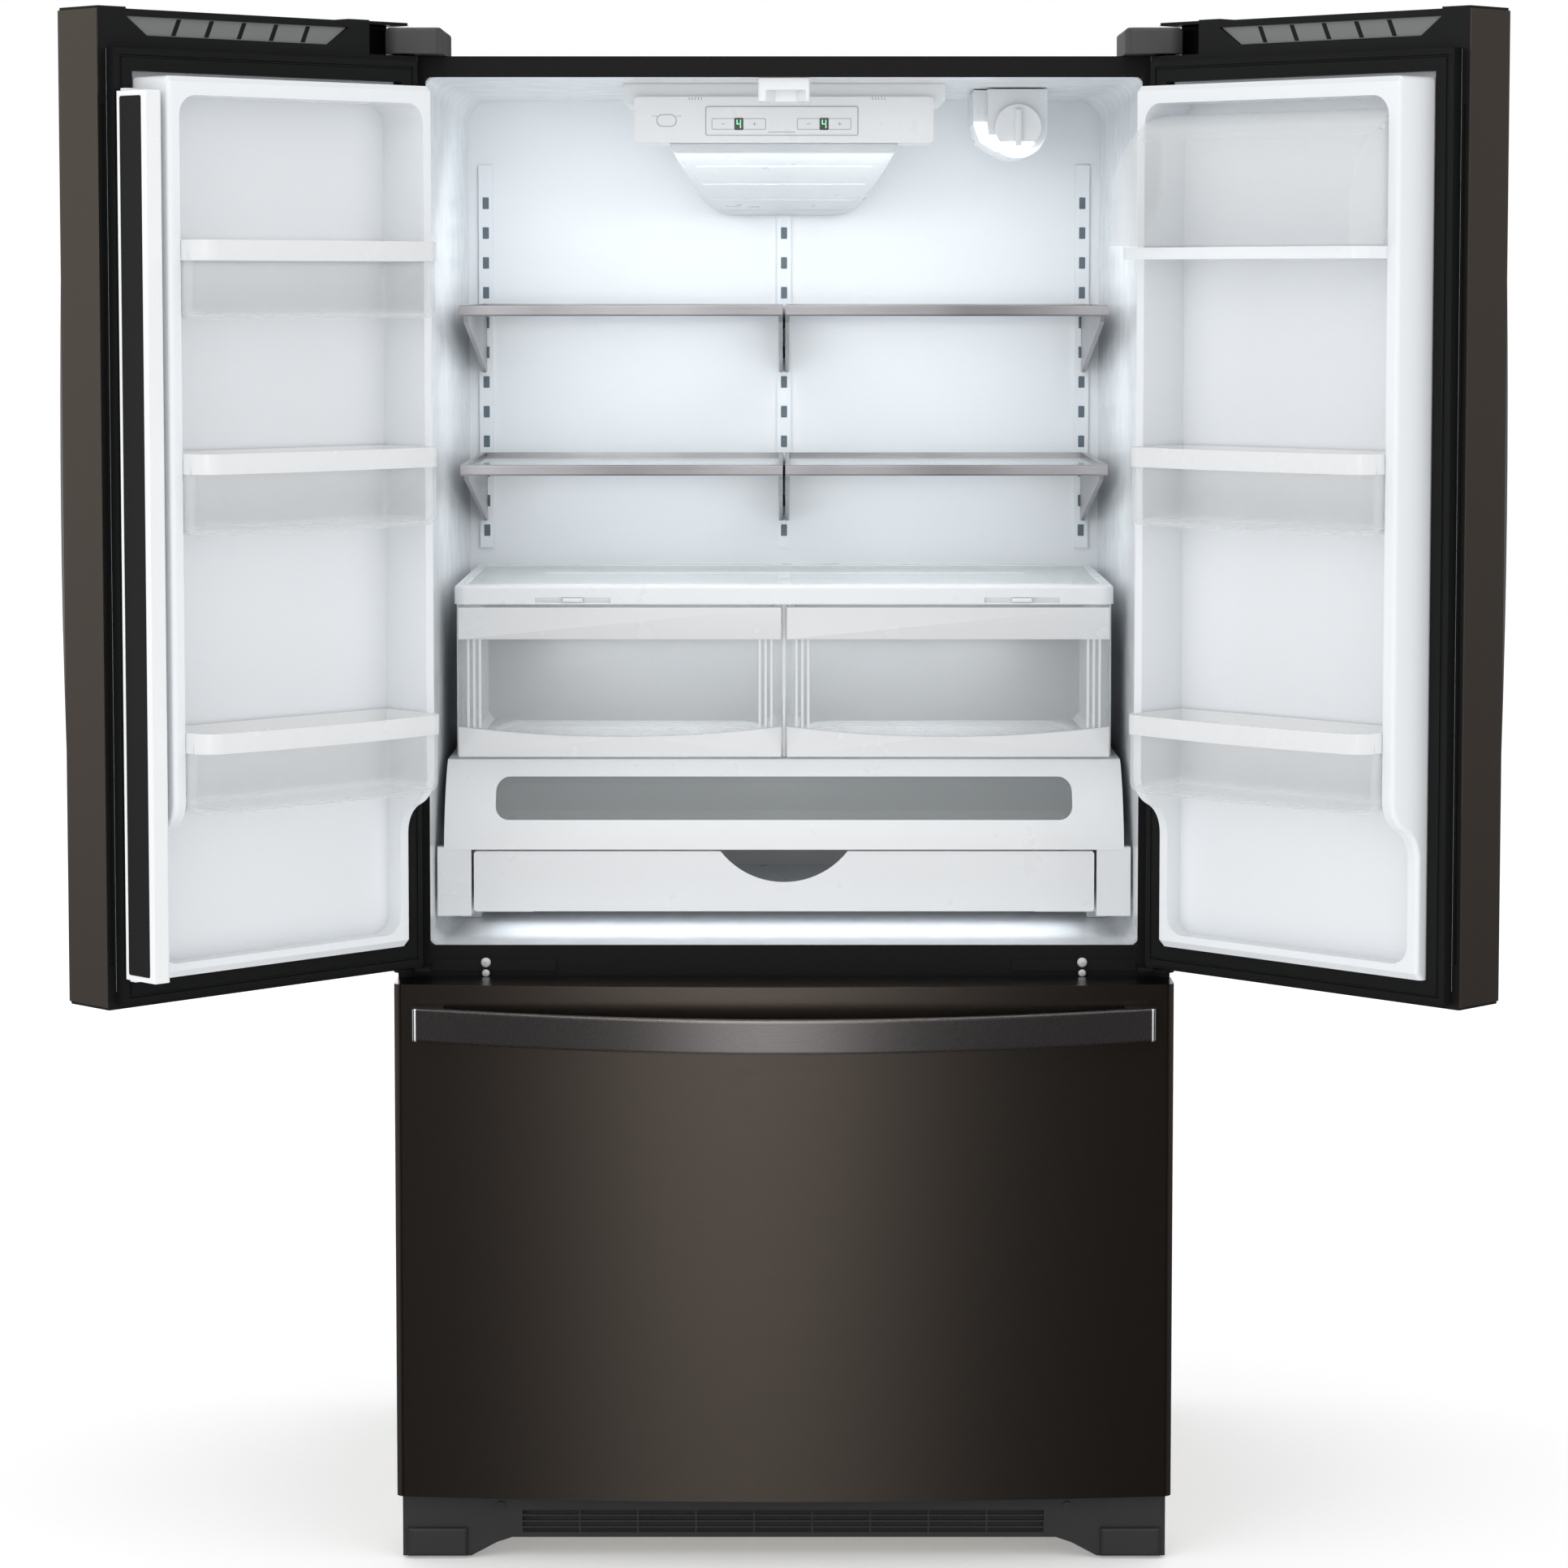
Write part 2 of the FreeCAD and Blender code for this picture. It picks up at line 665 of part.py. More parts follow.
def shelf_frame(x0, x1, top):
    """Metal trim at the front, side rails and cantilever brackets that hook into the standards."""
    bottom = top - shelf_trim
    front = box(x0, x1, shelf_front, shelf_front + 9, bottom, top)
    back = box(x0, x1, shelf_back - 8, shelf_back, bottom + 3, top)
    sides = []
    for x in (x0, x1 - 5):
        sides.append(box(x, x + 5, shelf_front + 8, shelf_back, bottom + 3, top))
        arm = [
            (x, shelf_front + 60, bottom + 4),
            (x, shelf_front + 75, bottom - 8),
            (x, shelf_back - 60, bottom - 62),
            (x, shelf_back - 12, bottom - 74),
            (x, fridge_back - 4.4, bottom - 74),
            (x, fridge_back - 4.4, bottom + 4),
        ]
        sides.append(prism(arm, (5, 0, 0)))
    frame = join([front, back] + sides)
    ledge = box(x0 + 4, x1 - 4, shelf_front + 3, shelf_back - 4, bottom + 3, bottom + 5)
    hole = box(x0 + 15, x1 - 15, shelf_front + 18, shelf_back - 18, bottom, top)
    frame = join([frame, ledge.cut(hole)])
    return fillet_where(
        frame, 2, lambda point, edge: point.y < shelf_front + 0.01 and edge.BoundBox.XLength > 50
    )


def shelf_spans():
    return [(-shelf_half, -1.5), (1.5, shelf_half)]


def shelf_frames():
    return group([shelf_frame(x0, x1, top) for top in shelf_tops for x0, x1 in shelf_spans()])


def shelf_glass():
    """Four shelf panes and the pane of the crisper cover."""
    panes = []
    for top in shelf_tops:
        for x0, x1 in shelf_spans():
            z1 = top - shelf_trim + 5.2 + glass_thickness
            panes.append(
                box(x0 + 5.4, x1 - 5.4, shelf_front + 9.2, shelf_back - 8.4, z1 - glass_thickness, z1)
            )
    inner = cover_half - 14
    panes.append(box(-inner, inner, shelf_front + 16, 586, cover_top - 5, cover_top - 1))
    return group(panes)


slider_centres = (-252.0, 284.0)


def crisper_cover():
    """White frame over the crispers: pane recess, centre rib, side runners, slots for the sliders."""
    y0, y1 = shelf_front - 6, 606
    frame = rounded_cover_block(y0, y1)
    inner = cover_half - 14
    frame = frame.cut(
        box(-inner - 0.4, inner + 0.4, shelf_front + 15.6, 586.4, cover_top - 5.4, cover_top + 1)
    )
    frame = frame.cut(box(-inner + 12, -8, shelf_front + 28, 574, cover_bottom - 1, cover_top + 1))
    frame = frame.cut(box(8, inner - 12, shelf_front + 28, 574, cover_bottom - 1, cover_top + 1))
    runners = [box(-1.2, 1.2, shelf_front + 3, 600, crisper_bottom, cover_bottom + 4)]
    for sign in (-1, 1):
        x = sign * (cover_half - 1.5)
        runners.append(box(x - 1.5, x + 1.5, shelf_front + 40, 600, pantry_top + 0.5, cover_bottom + 4))
    frame = join([frame] + runners)
    for x in slider_centres:
        frame = frame.cut(box(x - 45, x + 45, y0 - 1, y0 + 4, cover_bottom + 2, cover_bottom + 8))
    return frame


def rounded_cover_block(y0, y1):
    block = box(-cover_half, cover_half, y0, y1, cover_bottom, cover_top)
    corners = fillet_where(block, 14, lambda point, edge: is_vertical(edge) and point.y < y0 + 1)
    return fillet_where(corners, 5, lambda point, edge: point.z > cover_top - 0.1 and point.y < y0 + 15)


def humidity_slider(x):
    y0 = shelf_front - 6
    tab = box(x - 12, x + 12, y0 - 4, y0 + 3, cover_bottom + 2.5, cover_bottom + 7.5)
    return fillet_where(tab, 1.5, lambda point, edge: point.y < y0 - 3.9)


def crisper(sign):
    """A drawer pan with a bowed grip band; modelled on the right and mirrored for the left."""
    x0, x1 = crisper_gap, cover_half - 4.5
    y0 = shelf_front
    outer = tapered(
        (x0, x1, crisper_bottom, crisper_top, 10, y0),
        (x0 + 8, x1 - 8, crisper_bottom + 6, crisper_top, 10, crisper_back),
    )
    wall = 3.0
    inner = tapered(
        (x0 + wall, x1 - wall, crisper_bottom + wall, crisper_top + 40, 9, y0 + wall),
        (x0 + 8 + wall, x1 - 8 - wall, crisper_bottom + 6 + wall, crisper_top + 40, 9, crisper_back - wall),
    )
    pan = outer.cut(inner)
    top_band = box(x0 + 0.5, x1 - 0.5, y0 - 5, y0 + 0.5, crisper_top - 38, crisper_top)
    middle = (x0 + x1) / 2
    low = crisper_bottom
    arc = Part.Arc(
        Vector(x0 + 0.5, y0 - 5, low + 36),
        Vector(middle, y0 - 5, low + 24),
        Vector(x1 - 0.5, y0 - 5, low + 36),
    )
    corners = [Vector(x1 - 0.5, y0 - 5, low + 36), Vector(x1 - 0.5, y0 - 5, low)]
    corners += [Vector(x0 + 0.5, y0 - 5, low), Vector(x0 + 0.5, y0 - 5, low + 36)]
    edges = [arc.toShape()] + [Part.LineSegment(a, b).toShape() for a, b in zip(corners, corners[1:])]
    low_band = Part.Face(Part.Wire(edges)).extrude(Vector(0, 5.5, 0))
    shape = join([pan, top_band, low_band])
    return shape if sign > 0 else mirrored(shape)


def pantry_profile(inset, y_back):
    """Side profile of the pantry cover: a curve that falls forward from the crispers to the drawer."""
    top = Vector(0, shelf_front - 4 + inset, pantry_top - inset)
    middle = Vector(0, pantry_front + 22 + inset * 0.8, pantry_top - 42 - inset * 0.6)
    low = Vector(0, pantry_front - 2 + inset, pantry_split + 1)
    curve = Part.Arc(top, middle, low).toShape()
    corners = [low, Vector(0, y_back, pantry_split + 1), Vector(0, y_back, pantry_top - inset), top]
    edges = [curve] + [Part.LineSegment(a, b).toShape() for a, b in zip(corners, corners[1:])]
    return Part.Face(Part.Wire(edges))


window_half = 342.0
window_low = 855.0
window_high = 903.0


def pantry_solid(inset, half, y_back):
    face = pantry_profile(inset, y_back)
    face.translate(Vector(-half, 0, 0))
    return face.extrude(Vector(2 * half, 0, 0))


def window_cut(grow):
    return rounded_block(
        -window_half - grow, window_half + grow, 100, 260, window_low - grow, window_high + grow, 16 + grow
    )


def pantry_cover():
    """Curved cover over the pantry drawer, with cheeks that stand on the liner floor at both sides."""
    shell = pantry_solid(0.0, 402, 600).cut(pantry_solid(3.0, 399, 610))
    shell = shell.cut(window_cut(0.0))
    cheeks = []
    for sign in (-1, 1):
        x_in, x_out = sign * (pantry_half + 3), sign * (opening_half - 4)
        x0, x1 = min(x_in, x_out), max(x_in, x_out)
        cheek = box(x0, x1, pantry_front - 1, pantry_front + 14, pantry_bottom - 5, pantry_split + 4)
        post = box(x0, x1, pantry_front + 170, 560, fridge_floor + 0.5, pantry_bottom - 4)
        rib_x0, rib_x1 = sorted((x_in, x_in + sign * 3))
        rib = box(rib_x0, rib_x1, pantry_front, 560, pantry_bottom - 5, pantry_split + 2)
        cheeks += [cheek, post, rib]
    return join([shell] + cheeks).common(fridge_cavity(-0.5))


def pantry_window():
    pane = pantry_solid(0.6, 390, 610).cut(pantry_solid(2.4, 395, 620))
    return pane.common(window_cut(-0.2))


def pantry_drawer():
    """Full-width drawer with a scooped finger notch in its front."""
    z0, z1 = pantry_bottom, pantry_split - 1
    x1 = pantry_half
    y1 = 545.0
    outer = tapered((-x1, x1, z0, z1, 4, pantry_front), (-x1 + 12, x1 - 12, z0, z1, 4, y1))
    inner = tapered(
        (-x1 + 3, x1 - 3, z0 + 3, z1 + 20, 4, pantry_front + 4),
        (-x1 + 15, x1 - 15, z0 + 3, z1 + 20, 4, y1 - 3),
    )
    drawer = outer.cut(inner)
    notch = rod((0, pantry_front - 1, z1 + 58), (0, 1, 0), 95, 8)
    drawer = drawer.cut(notch)
    relief = box(-297, 297, pantry_front - 1, pantry_front + 3, z0 - 1, z0 + 5)
    return drawer.cut(relief)


# ---------------------------------------------------------------- door hinges


def door_hinges():
    """Top plates and centre brackets with their pins and screws, for both doors."""
    parts = []
    x, y = -hinge_x, hinge_y
    plate = box(x - 8, x + 46, y + 26, 150, cabinet_top, cabinet_top + 4)
    arm = join(
        [
            box(x - 8, x + 14, y, y + 30, cabinet_top, cabinet_top + 4),
            rod((x, y, cabinet_top), (0, 0, 1), 14, 4),
        ],
    )
    pin = rod((x, y, cabinet_top - 22), (0, 0, 1), 5, 24)
    screws = [rod((x + dx, dy, cabinet_top + 3.9), (0, 0, 1), 6, 4) for dx in (6, 34) for dy in (95, 130)]
    parts.append(join([plate, arm, pin] + screws))
    z = door_bottom - 7
    bracket = box(x - 8, x + 175, cabinet_front - 3, cabinet_front - 0.2, z - 4, z + 10)
    ledge = box(x - 8, x + 30, y, cabinet_front - 1, z, z + 4)
    nose = rod((x, y, z), (0, 0, 1), 12, 4)
    lower_pin = rod((x, y, z + 3), (0, 0, 1), 5, 26)
    heads = [rod((-349, cabinet_front - 5.5, z_head), (0, 1, 0), 5, 4) for z_head in (z + 6, z - 0.5)]
    parts.append(join([bracket, ledge, nose, lower_pin] + heads))
    return group(parts + [mirrored(part) for part in parts])


cover_nose = 22.0
cover_outer = 13.0
cover_inner = 52.0
cover_top_z = cabinet_top + 30.0


def hinge_covers():
    """Moulded covers over the top hinge plates; the nose is round about the hinge pin."""
    x, y = -hinge_x, hinge_y
    z0, z1 = cabinet_top + 0.3, cover_top_z
    left, right, front = x - cover_outer, x + cover_inner, y - cover_nose
    nose_y = y - math.sqrt(cover_nose ** 2 - cover_outer ** 2)
    turn = math.asin(cover_outer / cover_nose) / 2
    nose = Vector(x - cover_nose * math.sin(turn), y - cover_nose * math.cos(turn), z0)
    corners = [
        Vector(px, py, z0)
        for px, py in ((left, nose_y), (left, 158), (right, 158), (right, front), (x, front))
    ]
    edges = [Part.LineSegment(a, b).toShape() for a, b in zip(corners, corners[1:])]
    edges.append(Part.Arc(corners[-1], nose, corners[0]).toShape())
    body = Part.Face(Part.Wire(edges)).extrude(Vector(0, 0, z1 - z0))
    body = fillet_where(body, 8, lambda point, edge: is_vertical(edge) and point.x > right - 1)
    body = fillet_where(body, 5, lambda point, edge: point.z > z1 - 0.01)
    recess = [
        box(x - 8.6, x + 47, y + 25, 151, z0 - 1, z0 + 12),
        box(x - 8.6, x + 17, y - 2, y + 32, z0 - 1, z0 + 12),
        rod((x, y, z0 - 1), (0, 0, 1), 15, 13),
    ]
    cover = body.cut(join(recess))
    return group([cover, mirrored(cover)])


# ---------------------------------------------------------------- doors, modelled closed on the left


door_hinge_side = -half_width
door_free_side = -door_gap


def door_block(inset, z0, z1):
    x0, x1 = door_hinge_side + inset, door_free_side - inset
    block = bowed_block(x0, x1, door_edge, z0, z1, inset)
    return front_corners_round(block, corner_radius - inset * 0.6)


cap_top_height = 45.0
cap_bottom_height = 19.0
frame_width = gasket_inset - steel - 0.5


def door_skin():
    """Bowed sheet steel wrapped round the two vertical edges."""
    outer = door_block(0.0, door_bottom + 3, door_top - 3)
    inner = door_block(steel, door_bottom, door_top)
    inner = inner.fuse(
        box(door_hinge_side + steel, door_free_side - steel, 40, door_edge + 5, door_bottom, door_top)
    )
    return outer.cut(inner).cut(hinge_recess())


notch_wall = 7.0
notch_side = 8.0
notch_width = 71.0
notch_low = cabinet_top - 2.5
notch_high = door_top - 3.5
notch_roof_y = 37.0


def hinge_recess():
    """The notch in the door's top corner round the hinge cover; the outer wall and a short roof stay."""
    x0, x1 = door_hinge_side - 1, door_hinge_side + notch_width
    inside = box(x0, x1, notch_wall, door_edge + 1, notch_low, notch_high)
    behind_roof = box(x0, x1, notch_roof_y, door_edge + 1, notch_low, door_top + 1)
    side = box(x0, door_hinge_side + notch_side, -door_bow, door_edge + 1, notch_low, notch_high)
    return join([inside, behind_roof, side])


cap_step = 2.0
cap_step_ends = (101.0, 411.0)
cap_pocket_depth = 4.0
cap_pocket_low = 1756.0
cap_pocket_high = 1776.5
cap_pocket = ((130.0, 383.0), (101.0, 411.0))
cap_slit_pitch = 45.0


def cap_vent():
    """The shallow slanted field in the back of the top cap, with its deeper slits."""
    (low_start, low_end), (high_start, high_end) = cap_pocket
    y = door_edge - cap_pocket_depth
    outline = [
        (low_start, cap_pocket_low),
        (low_end, cap_pocket_low),
        (high_end, cap_pocket_high),
        (high_start, cap_pocket_high),
    ]
    field = prism([(door_hinge_side + u, y, z) for u, z in outline], (0, cap_pocket_depth + 1, 0))
    slits = []
    for step in range(5):
        x = door_hinge_side + low_start + 30 + step * cap_slit_pitch
        z0, z1 = cap_pocket_low + 1, cap_pocket_high - 1
        corners = [(x, y - 6, z0), (x + 5, y - 6, z0), (x - 3, y - 6, z1), (x - 8, y - 6, z1)]
        slits.append(prism(corners, (0, 8, 0)))
    return join([field] + slits)


def door_caps():
    """Black end caps joined by side strips that frame the liner."""
    play = steel + 0.2
    top = door_block(play, door_top - cap_top_height, door_top)
    step_start, step_end = cap_step_ends
    top = top.cut(
        box(
            door_hinge_side + step_start,
            door_hinge_side + step_end,
            -door_bow,
            door_edge + 1,
            door_top - cap_step,
            door_top + 1,
        )
    )
    top = top.cut(cap_vent())
    top = top.cut(hinge_recess())
    top = top.cut(rod((-hinge_x, hinge_y, cabinet_top - 24), (0, 0, 1), 5.06, 30))
    bottom = door_block(play, door_bottom, door_bottom + cap_bottom_height)
    bottom = bottom.cut(rod((-hinge_x, hinge_y, door_bottom - 1), (0, 0, 1), 5.06, 24))
    z0, z1 = door_bottom + cap_bottom_height - 1, door_top - cap_top_height + 1
    x0, x1 = door_hinge_side + play, door_free_side - play
    strips = [
        box(x0, x0 + frame_width, door_edge - 8, door_edge, z0, z1),
        box(x1 - frame_width, x1, door_edge - 8, door_edge, z0, z1),
    ]
    groove = box(x1 - 7, x1 - 3, door_edge - 2, door_edge + 1, door_bottom + 50, door_top - 105)
    return join([top, bottom] + strips).cut(groove)


def dike_profile(x, inset):
    """Side profile of the dikes in the y-z plane; they step back below the bins."""
    y0 = door_edge - 1
    high = door_edge + dike_height - inset
    low = door_edge + dike_low_height - inset
    z_high, z_low = dike_curve_top + inset, dike_curve_bottom + inset
    middle_y, middle_z = (high + low) / 2, (z_high + z_low) / 2
    upper = Part.Arc(
        Vector(x, high, z_high),
        Vector(x, (high + middle_y) / 2 + 5, (z_high + middle_z) / 2 - 4),
        Vector(x, middle_y, middle_z),
    )
    lower = Part.Arc(
        Vector(x, middle_y, middle_z),
        Vector(x, (low + middle_y) / 2 - 5, (z_low + middle_z) / 2 + 4),
        Vector(x, low, z_low),
    )
    corners = [
        Vector(x, low, z_low),
        Vector(x, low, dike_bottom + inset + 8),
        Vector(x, low - 8, dike_bottom + inset),
        Vector(x, y0, dike_bottom + inset),
        Vector(x, y0, dike_top - inset),
        Vector(x, high - 6, dike_top - inset),
        Vector(x, high, dike_top - inset - 6),
        Vector(x, high, z_high),
    ]
    edges = [Part.LineSegment(a, b).toShape() for a, b in zip(corners, corners[1:])]
    return Part.Face(Part.Wire([upper.toShape(), lower.toShape()] + edges))


def dike_solid(inset):
    """The raised form of the liner, a ring with an open pocket for the bins."""
    x0, x1 = -dike_outer_hinge + inset, -dike_outer_free - inset
    solid = dike_profile(x0, inset).extrude(Vector(x1 - x0, 0, 0))
    solid = fillet_where(
        solid, 5 - inset, lambda point, edge: edge.BoundBox.XLength < 0.1 and point.y > door_edge + 20
    )
    width = dike_width - 2 * inset
    pocket = rounded_block(
        x0 + width,
        x1 - width,
        door_edge + 5 - inset,
        door_edge + 200,
        dike_bottom + 16 - inset,
        dike_top - 20 + inset,
        22,
    )
    return solid.cut(pocket)


def door_liner():
    """Vacuum-formed white liner: a base sheet under the gasket and the hollow raised ring."""
    x0, x1 = door_hinge_side + gasket_inset, door_free_side - gasket_inset
    sheet = box(x0, x1, door_edge - 1.6, door_edge, gasket_bottom + 13.5, gasket_top - 0.5)
    inner = dike_solid(plastic)
    base = sheet.cut(
        box(-dike_outer_hinge + plastic, -dike_outer_free - plastic, 40, 60, dike_bottom + 3, dike_top - 3),
    )
    floor = box(
        -dike_outer_hinge + dike_width - 1, -dike_outer_free - dike_width + 1, door_edge + 2.5, door_edge + 5,
        dike_bottom + 14, dike_top - 18,
    )
    ring = dike_solid(0.0).cut(inner)
    return join([ring, base, floor])


knuckle_pin = 2.5


def flap_knuckles():
    """Two arms on the left liner that carry the pins of the mullion flap."""
    arms = []
    heights = (
        (flap_top + 0.6, flap_top + 3.2, flap_top - 8),
        (flap_bottom - 3.2, flap_bottom - 0.6, flap_bottom),
    )
    for z0, z1, pin_z in heights:
        arms.append(box(-dike_outer_free - 6, flap_hinge_x + 4, flap_hinge_y - 5, flap_hinge_y + 5, z0, z1))
        start = pin_z if pin_z < z0 else z1 - 1
        arms.append(rod((flap_hinge_x, flap_hinge_y, start), (0, 0, 1), knuckle_pin, 9))
    return join(arms)


def door_gasket():
    """Magnetic gasket: a square ring with a hollow bellows groove on its inner flank."""
    x0, x1 = door_hinge_side + gasket_inset, door_free_side - gasket_inset
    y0, y1 = door_edge + 0.1, door_edge + gasket_height
    ring = box(x0, x1, y0, y1, gasket_bottom, gasket_top)
    w = gasket_width
    ring = ring.cut(box(x0 + w, x1 - w, y0 - 1, y1 + 1, gasket_bottom + w, gasket_top - w))
    groove = box(x0 + 7, x1 - 7, y1 - 4, y1 + 1, gasket_bottom + 7, gasket_top - 7)
    groove = groove.cut(box(x0 + 10, x1 - 10, y1 - 5, y1 + 2, gasket_bottom + 10, gasket_top - 10))
    return ring.cut(groove)


handle_x = -58.0
handle_bottom = 760.0
handle_top = 1700.0
handle_standoff = 40.0
handle_bow = 16.0
handle_width = 32.0
handle_thickness = 12.0


def door_handle():
    """Vertical bowed bar on two end posts."""
    surface = bow_y(handle_x)
    x0, x1 = handle_x - handle_width / 2, handle_x + handle_width / 2
    end_y = surface - handle_standoff
    middle_z = (handle_bottom + handle_top) / 2
    outer = Part.Arc(
        Vector(x0, end_y, handle_bottom),
        Vector(x0, end_y - handle_bow, middle_z),
        Vector(x0, end_y, handle_top),
    )
    inner = Part.Arc(
        Vector(x0, end_y + handle_thickness, handle_bottom),
        Vector(x0, end_y + handle_thickness - handle_bow, middle_z),
        Vector(x0, end_y + handle_thickness, handle_top),
    )
    ends = [
        Part.LineSegment(Vector(x0, end_y, z), Vector(x0, end_y + handle_thickness, z)).toShape()
        for z in (handle_bottom, handle_top)
    ]
    bar = Part.Face(Part.Wire(Part.__sortEdges__([outer.toShape(), ends[1], inner.toShape(), ends[0]])))
    bar = bar.extrude(Vector(x1 - x0, 0, 0))
    bar = fillet_where(bar, 3, lambda point, edge: edge.BoundBox.ZLength > 500)
    posts = [
        box(x0 + 5, x1 - 5, end_y + handle_thickness - 4, surface + 1.5, z, z + 34)
        for z in (handle_bottom + 6, handle_top - 40)
    ]
    return join([bar] + posts).cut(door_block(0.0, door_bottom, door_top))


def bin_outline(grow, reach, z):
    """Plan of a bin: flat against the liner, bowed towards the inside of the fridge."""
    x0 = -dike_outer_hinge + dike_width + 0.6 + grow
    x1 = -dike_outer_free - dike_width - 0.6 - grow
    y0 = door_edge + 5.6 + grow
    side = door_edge + reach - 34
    front = door_edge + reach - grow
    shoulder = 26.0
    middle = (x0 + x1) / 2
    left, right = Vector(x0, side, z), Vector(x1, side, z)
    left_turn = Vector(x0 + shoulder * 0.3, side + (front - 9 - side) * 0.72, z)
    right_turn = Vector(x1 - shoulder * 0.3, side + (front - 9 - side) * 0.72, z)
    left_end, right_end = Vector(x0 + shoulder, front - 9, z), Vector(x1 - shoulder, front - 9, z)
    edges = [
        Part.Arc(left, left_turn, left_end).toShape(),
        Part.Arc(left_end, Vector(middle, front, z), right_end).toShape(),
        Part.Arc(right_end, right_turn, right).toShape(),
        Part.LineSegment(right, Vector(x1, y0, z)).toShape(),
        Part.LineSegment(Vector(x1, y0, z), Vector(x0, y0, z)).toShape(),
        Part.LineSegment(Vector(x0, y0, z), left).toShape(),
    ]
    return Part.Face(Part.Wire(edges))


bin_rim = 22.0
bin_rounding = ((0.0, 8.0), (1.2, 4.6), (3.6, 1.9), (9.0, 0.0))


def bin_form(grow, z0, z1):
    """A bin outline extruded upwards, with its bottom edge rounded in facets."""
    sections = [bin_outline(grow + inset, bin_reach, z0 + rise).OuterWire for rise, inset in bin_rounding]
    sections.append(bin_outline(grow, bin_reach, z1).OuterWire)
    return Part.makeLoft(sections, True, True)


def door_bin(z0, z1):
    """An open-topped bin with rounded bottom edges and a thicker rim band."""
    outer = bin_form(1.5, z0, z1)
    inner = bin_form(1.5 + bin_wall, z0 + bin_wall, z1 + 10)
    rim = bin_outline(0.0, bin_reach, z1 - bin_rim).extrude(Vector(0, 0, bin_rim))
    rim_hole = bin_outline(1.2 + bin_wall, bin_reach, z1 - bin_rim - 1).extrude(Vector(0, 0, bin_rim + 2))
    return join([outer.cut(inner), rim.cut(rim_hole)])


lid_pin_y = door_edge + 84.0
lid_pin_z = dairy_hinge_z - 16.0


def dairy_lid():
    """Clear lid that curves down from its hinge at the top of the compartment to the ledge."""
    x0 = -dike_outer_hinge + dike_width + 3
    x1 = -dike_outer_free - dike_width - 3
    y0 = door_edge + 48

    def face(inset):
        top = Vector(x0, y0, dairy_hinge_z + 5 - inset)
        crown = Vector(x0, door_edge + dairy_reach - 34 - inset * 0.7, dairy_hinge_z - 24 - inset * 0.7)
        side = Vector(x0, door_edge + dairy_reach - inset, dairy_hinge_z - 95)
        low = Vector(x0, door_edge + dairy_reach - inset, dairy_floor + 15)
        under_pin = Vector(x0, lid_pin_y - 4, dairy_floor + 15)
        back = Vector(x0, y0, dairy_floor + 85)
        corners = [side, low, under_pin, back, top]
        edges = [Part.Arc(top, crown, side).toShape()]
        edges += [Part.LineSegment(a, b).toShape() for a, b in zip(corners, corners[1:])]
        return Part.Face(Part.Wire(edges))

    outer = face(0.0).extrude(Vector(x1 - x0, 0, 0))
    inner = face(3.0).extrude(Vector(x1 - x0, 0, 0))
    inner.translate(Vector(0, 0, -4))
    hollow = inner.common(box(x0 + 3, x1 - 3, 0, 400, 1000, 2000))
    rear = box(x0 - 1, x1 + 1, y0 - 1, y0 + 3, 1000, dairy_hinge_z - 8)
    lid = outer.cut(hollow).cut(rear)
    pins = [rod((x, lid_pin_y, lid_pin_z), (1, 0, 0), 3, 6) for x in (x0 - 2.4, x1 - 3.6)]
    return join([lid] + pins)


def dairy_shelf():
    """White ledge under the dairy compartment, part of the right liner."""
    tray = bin_outline(-0.9, bin_reach + 14, dairy_floor).extrude(Vector(0, 0, 13))
    scoop = bin_outline(12.0, bin_reach + 14, dairy_floor + 4).extrude(Vector(0, 0, 20))
    return tray.cut(scoop)


# ---------------------------------------------------------------- mullion flap, modelled closed


def mullion_flap():
    """Plastic body behind a steel face; the face meets both door gaskets when closed."""
    x0, x1 = -flap_half, flap_half
    body = box(x0, x1, flap_front, flap_front + flap_thickness, flap_bottom, flap_top)
    body = fillet_where(body, 4, lambda point, edge: is_vertical(edge) and point.y > flap_front + 10)
    body = body.cut(box(x0 + 4, x1 - 9, flap_front - 1, flap_front + 0.8, flap_bottom + 5, flap_top - 5))
    for z in (flap_bottom - 1, flap_top - 10):
        body = body.cut(rod((flap_hinge_x, flap_hinge_y, z), (0, 0, 1), knuckle_pin + 0.06, 11))
    face = box(x0 + 4.2, x1 - 9.2, flap_front + 0.1, flap_front + 0.8, flap_bottom + 5.2, flap_top - 5.2)
    return group([body, face])


# ---------------------------------------------------------------- freezer drawer


def freezer_front():
    outer = bowed_block(-half_width, half_width, drawer_edge, drawer_bottom, drawer_top)
    outer = front_corners_round(outer, corner_radius)
    inner = bowed_block(
        -half_width + steel,
        half_width - steel,
        drawer_edge + 2,
        drawer_bottom + steel,
        drawer_top - steel,
        steel,
    )
    inner = front_corners_round(inner, corner_radius - 1)
    return outer.cut(inner)


def freezer_panel():
    """White inner panel of the drawer, with a shallow raised field."""
    x = half_width - steel - 0.3
    z0, z1 = drawer_bottom + steel + 0.3, drawer_top - steel - 0.3
    sheet = box(-x, x, drawer_edge - 3, drawer_edge, z0, z1)
    field = rounded_block(
        -400, 400, drawer_edge - 3, drawer_edge + 24, freezer_floor + 4, freezer_ceiling - 4, 30
    )
    hollow = rounded_block(
        -397, 397, drawer_edge - 4, drawer_edge + 21, freezer_floor + 7, freezer_ceiling - 7, 27
    )
    return join([sheet, field]).cut(hollow)


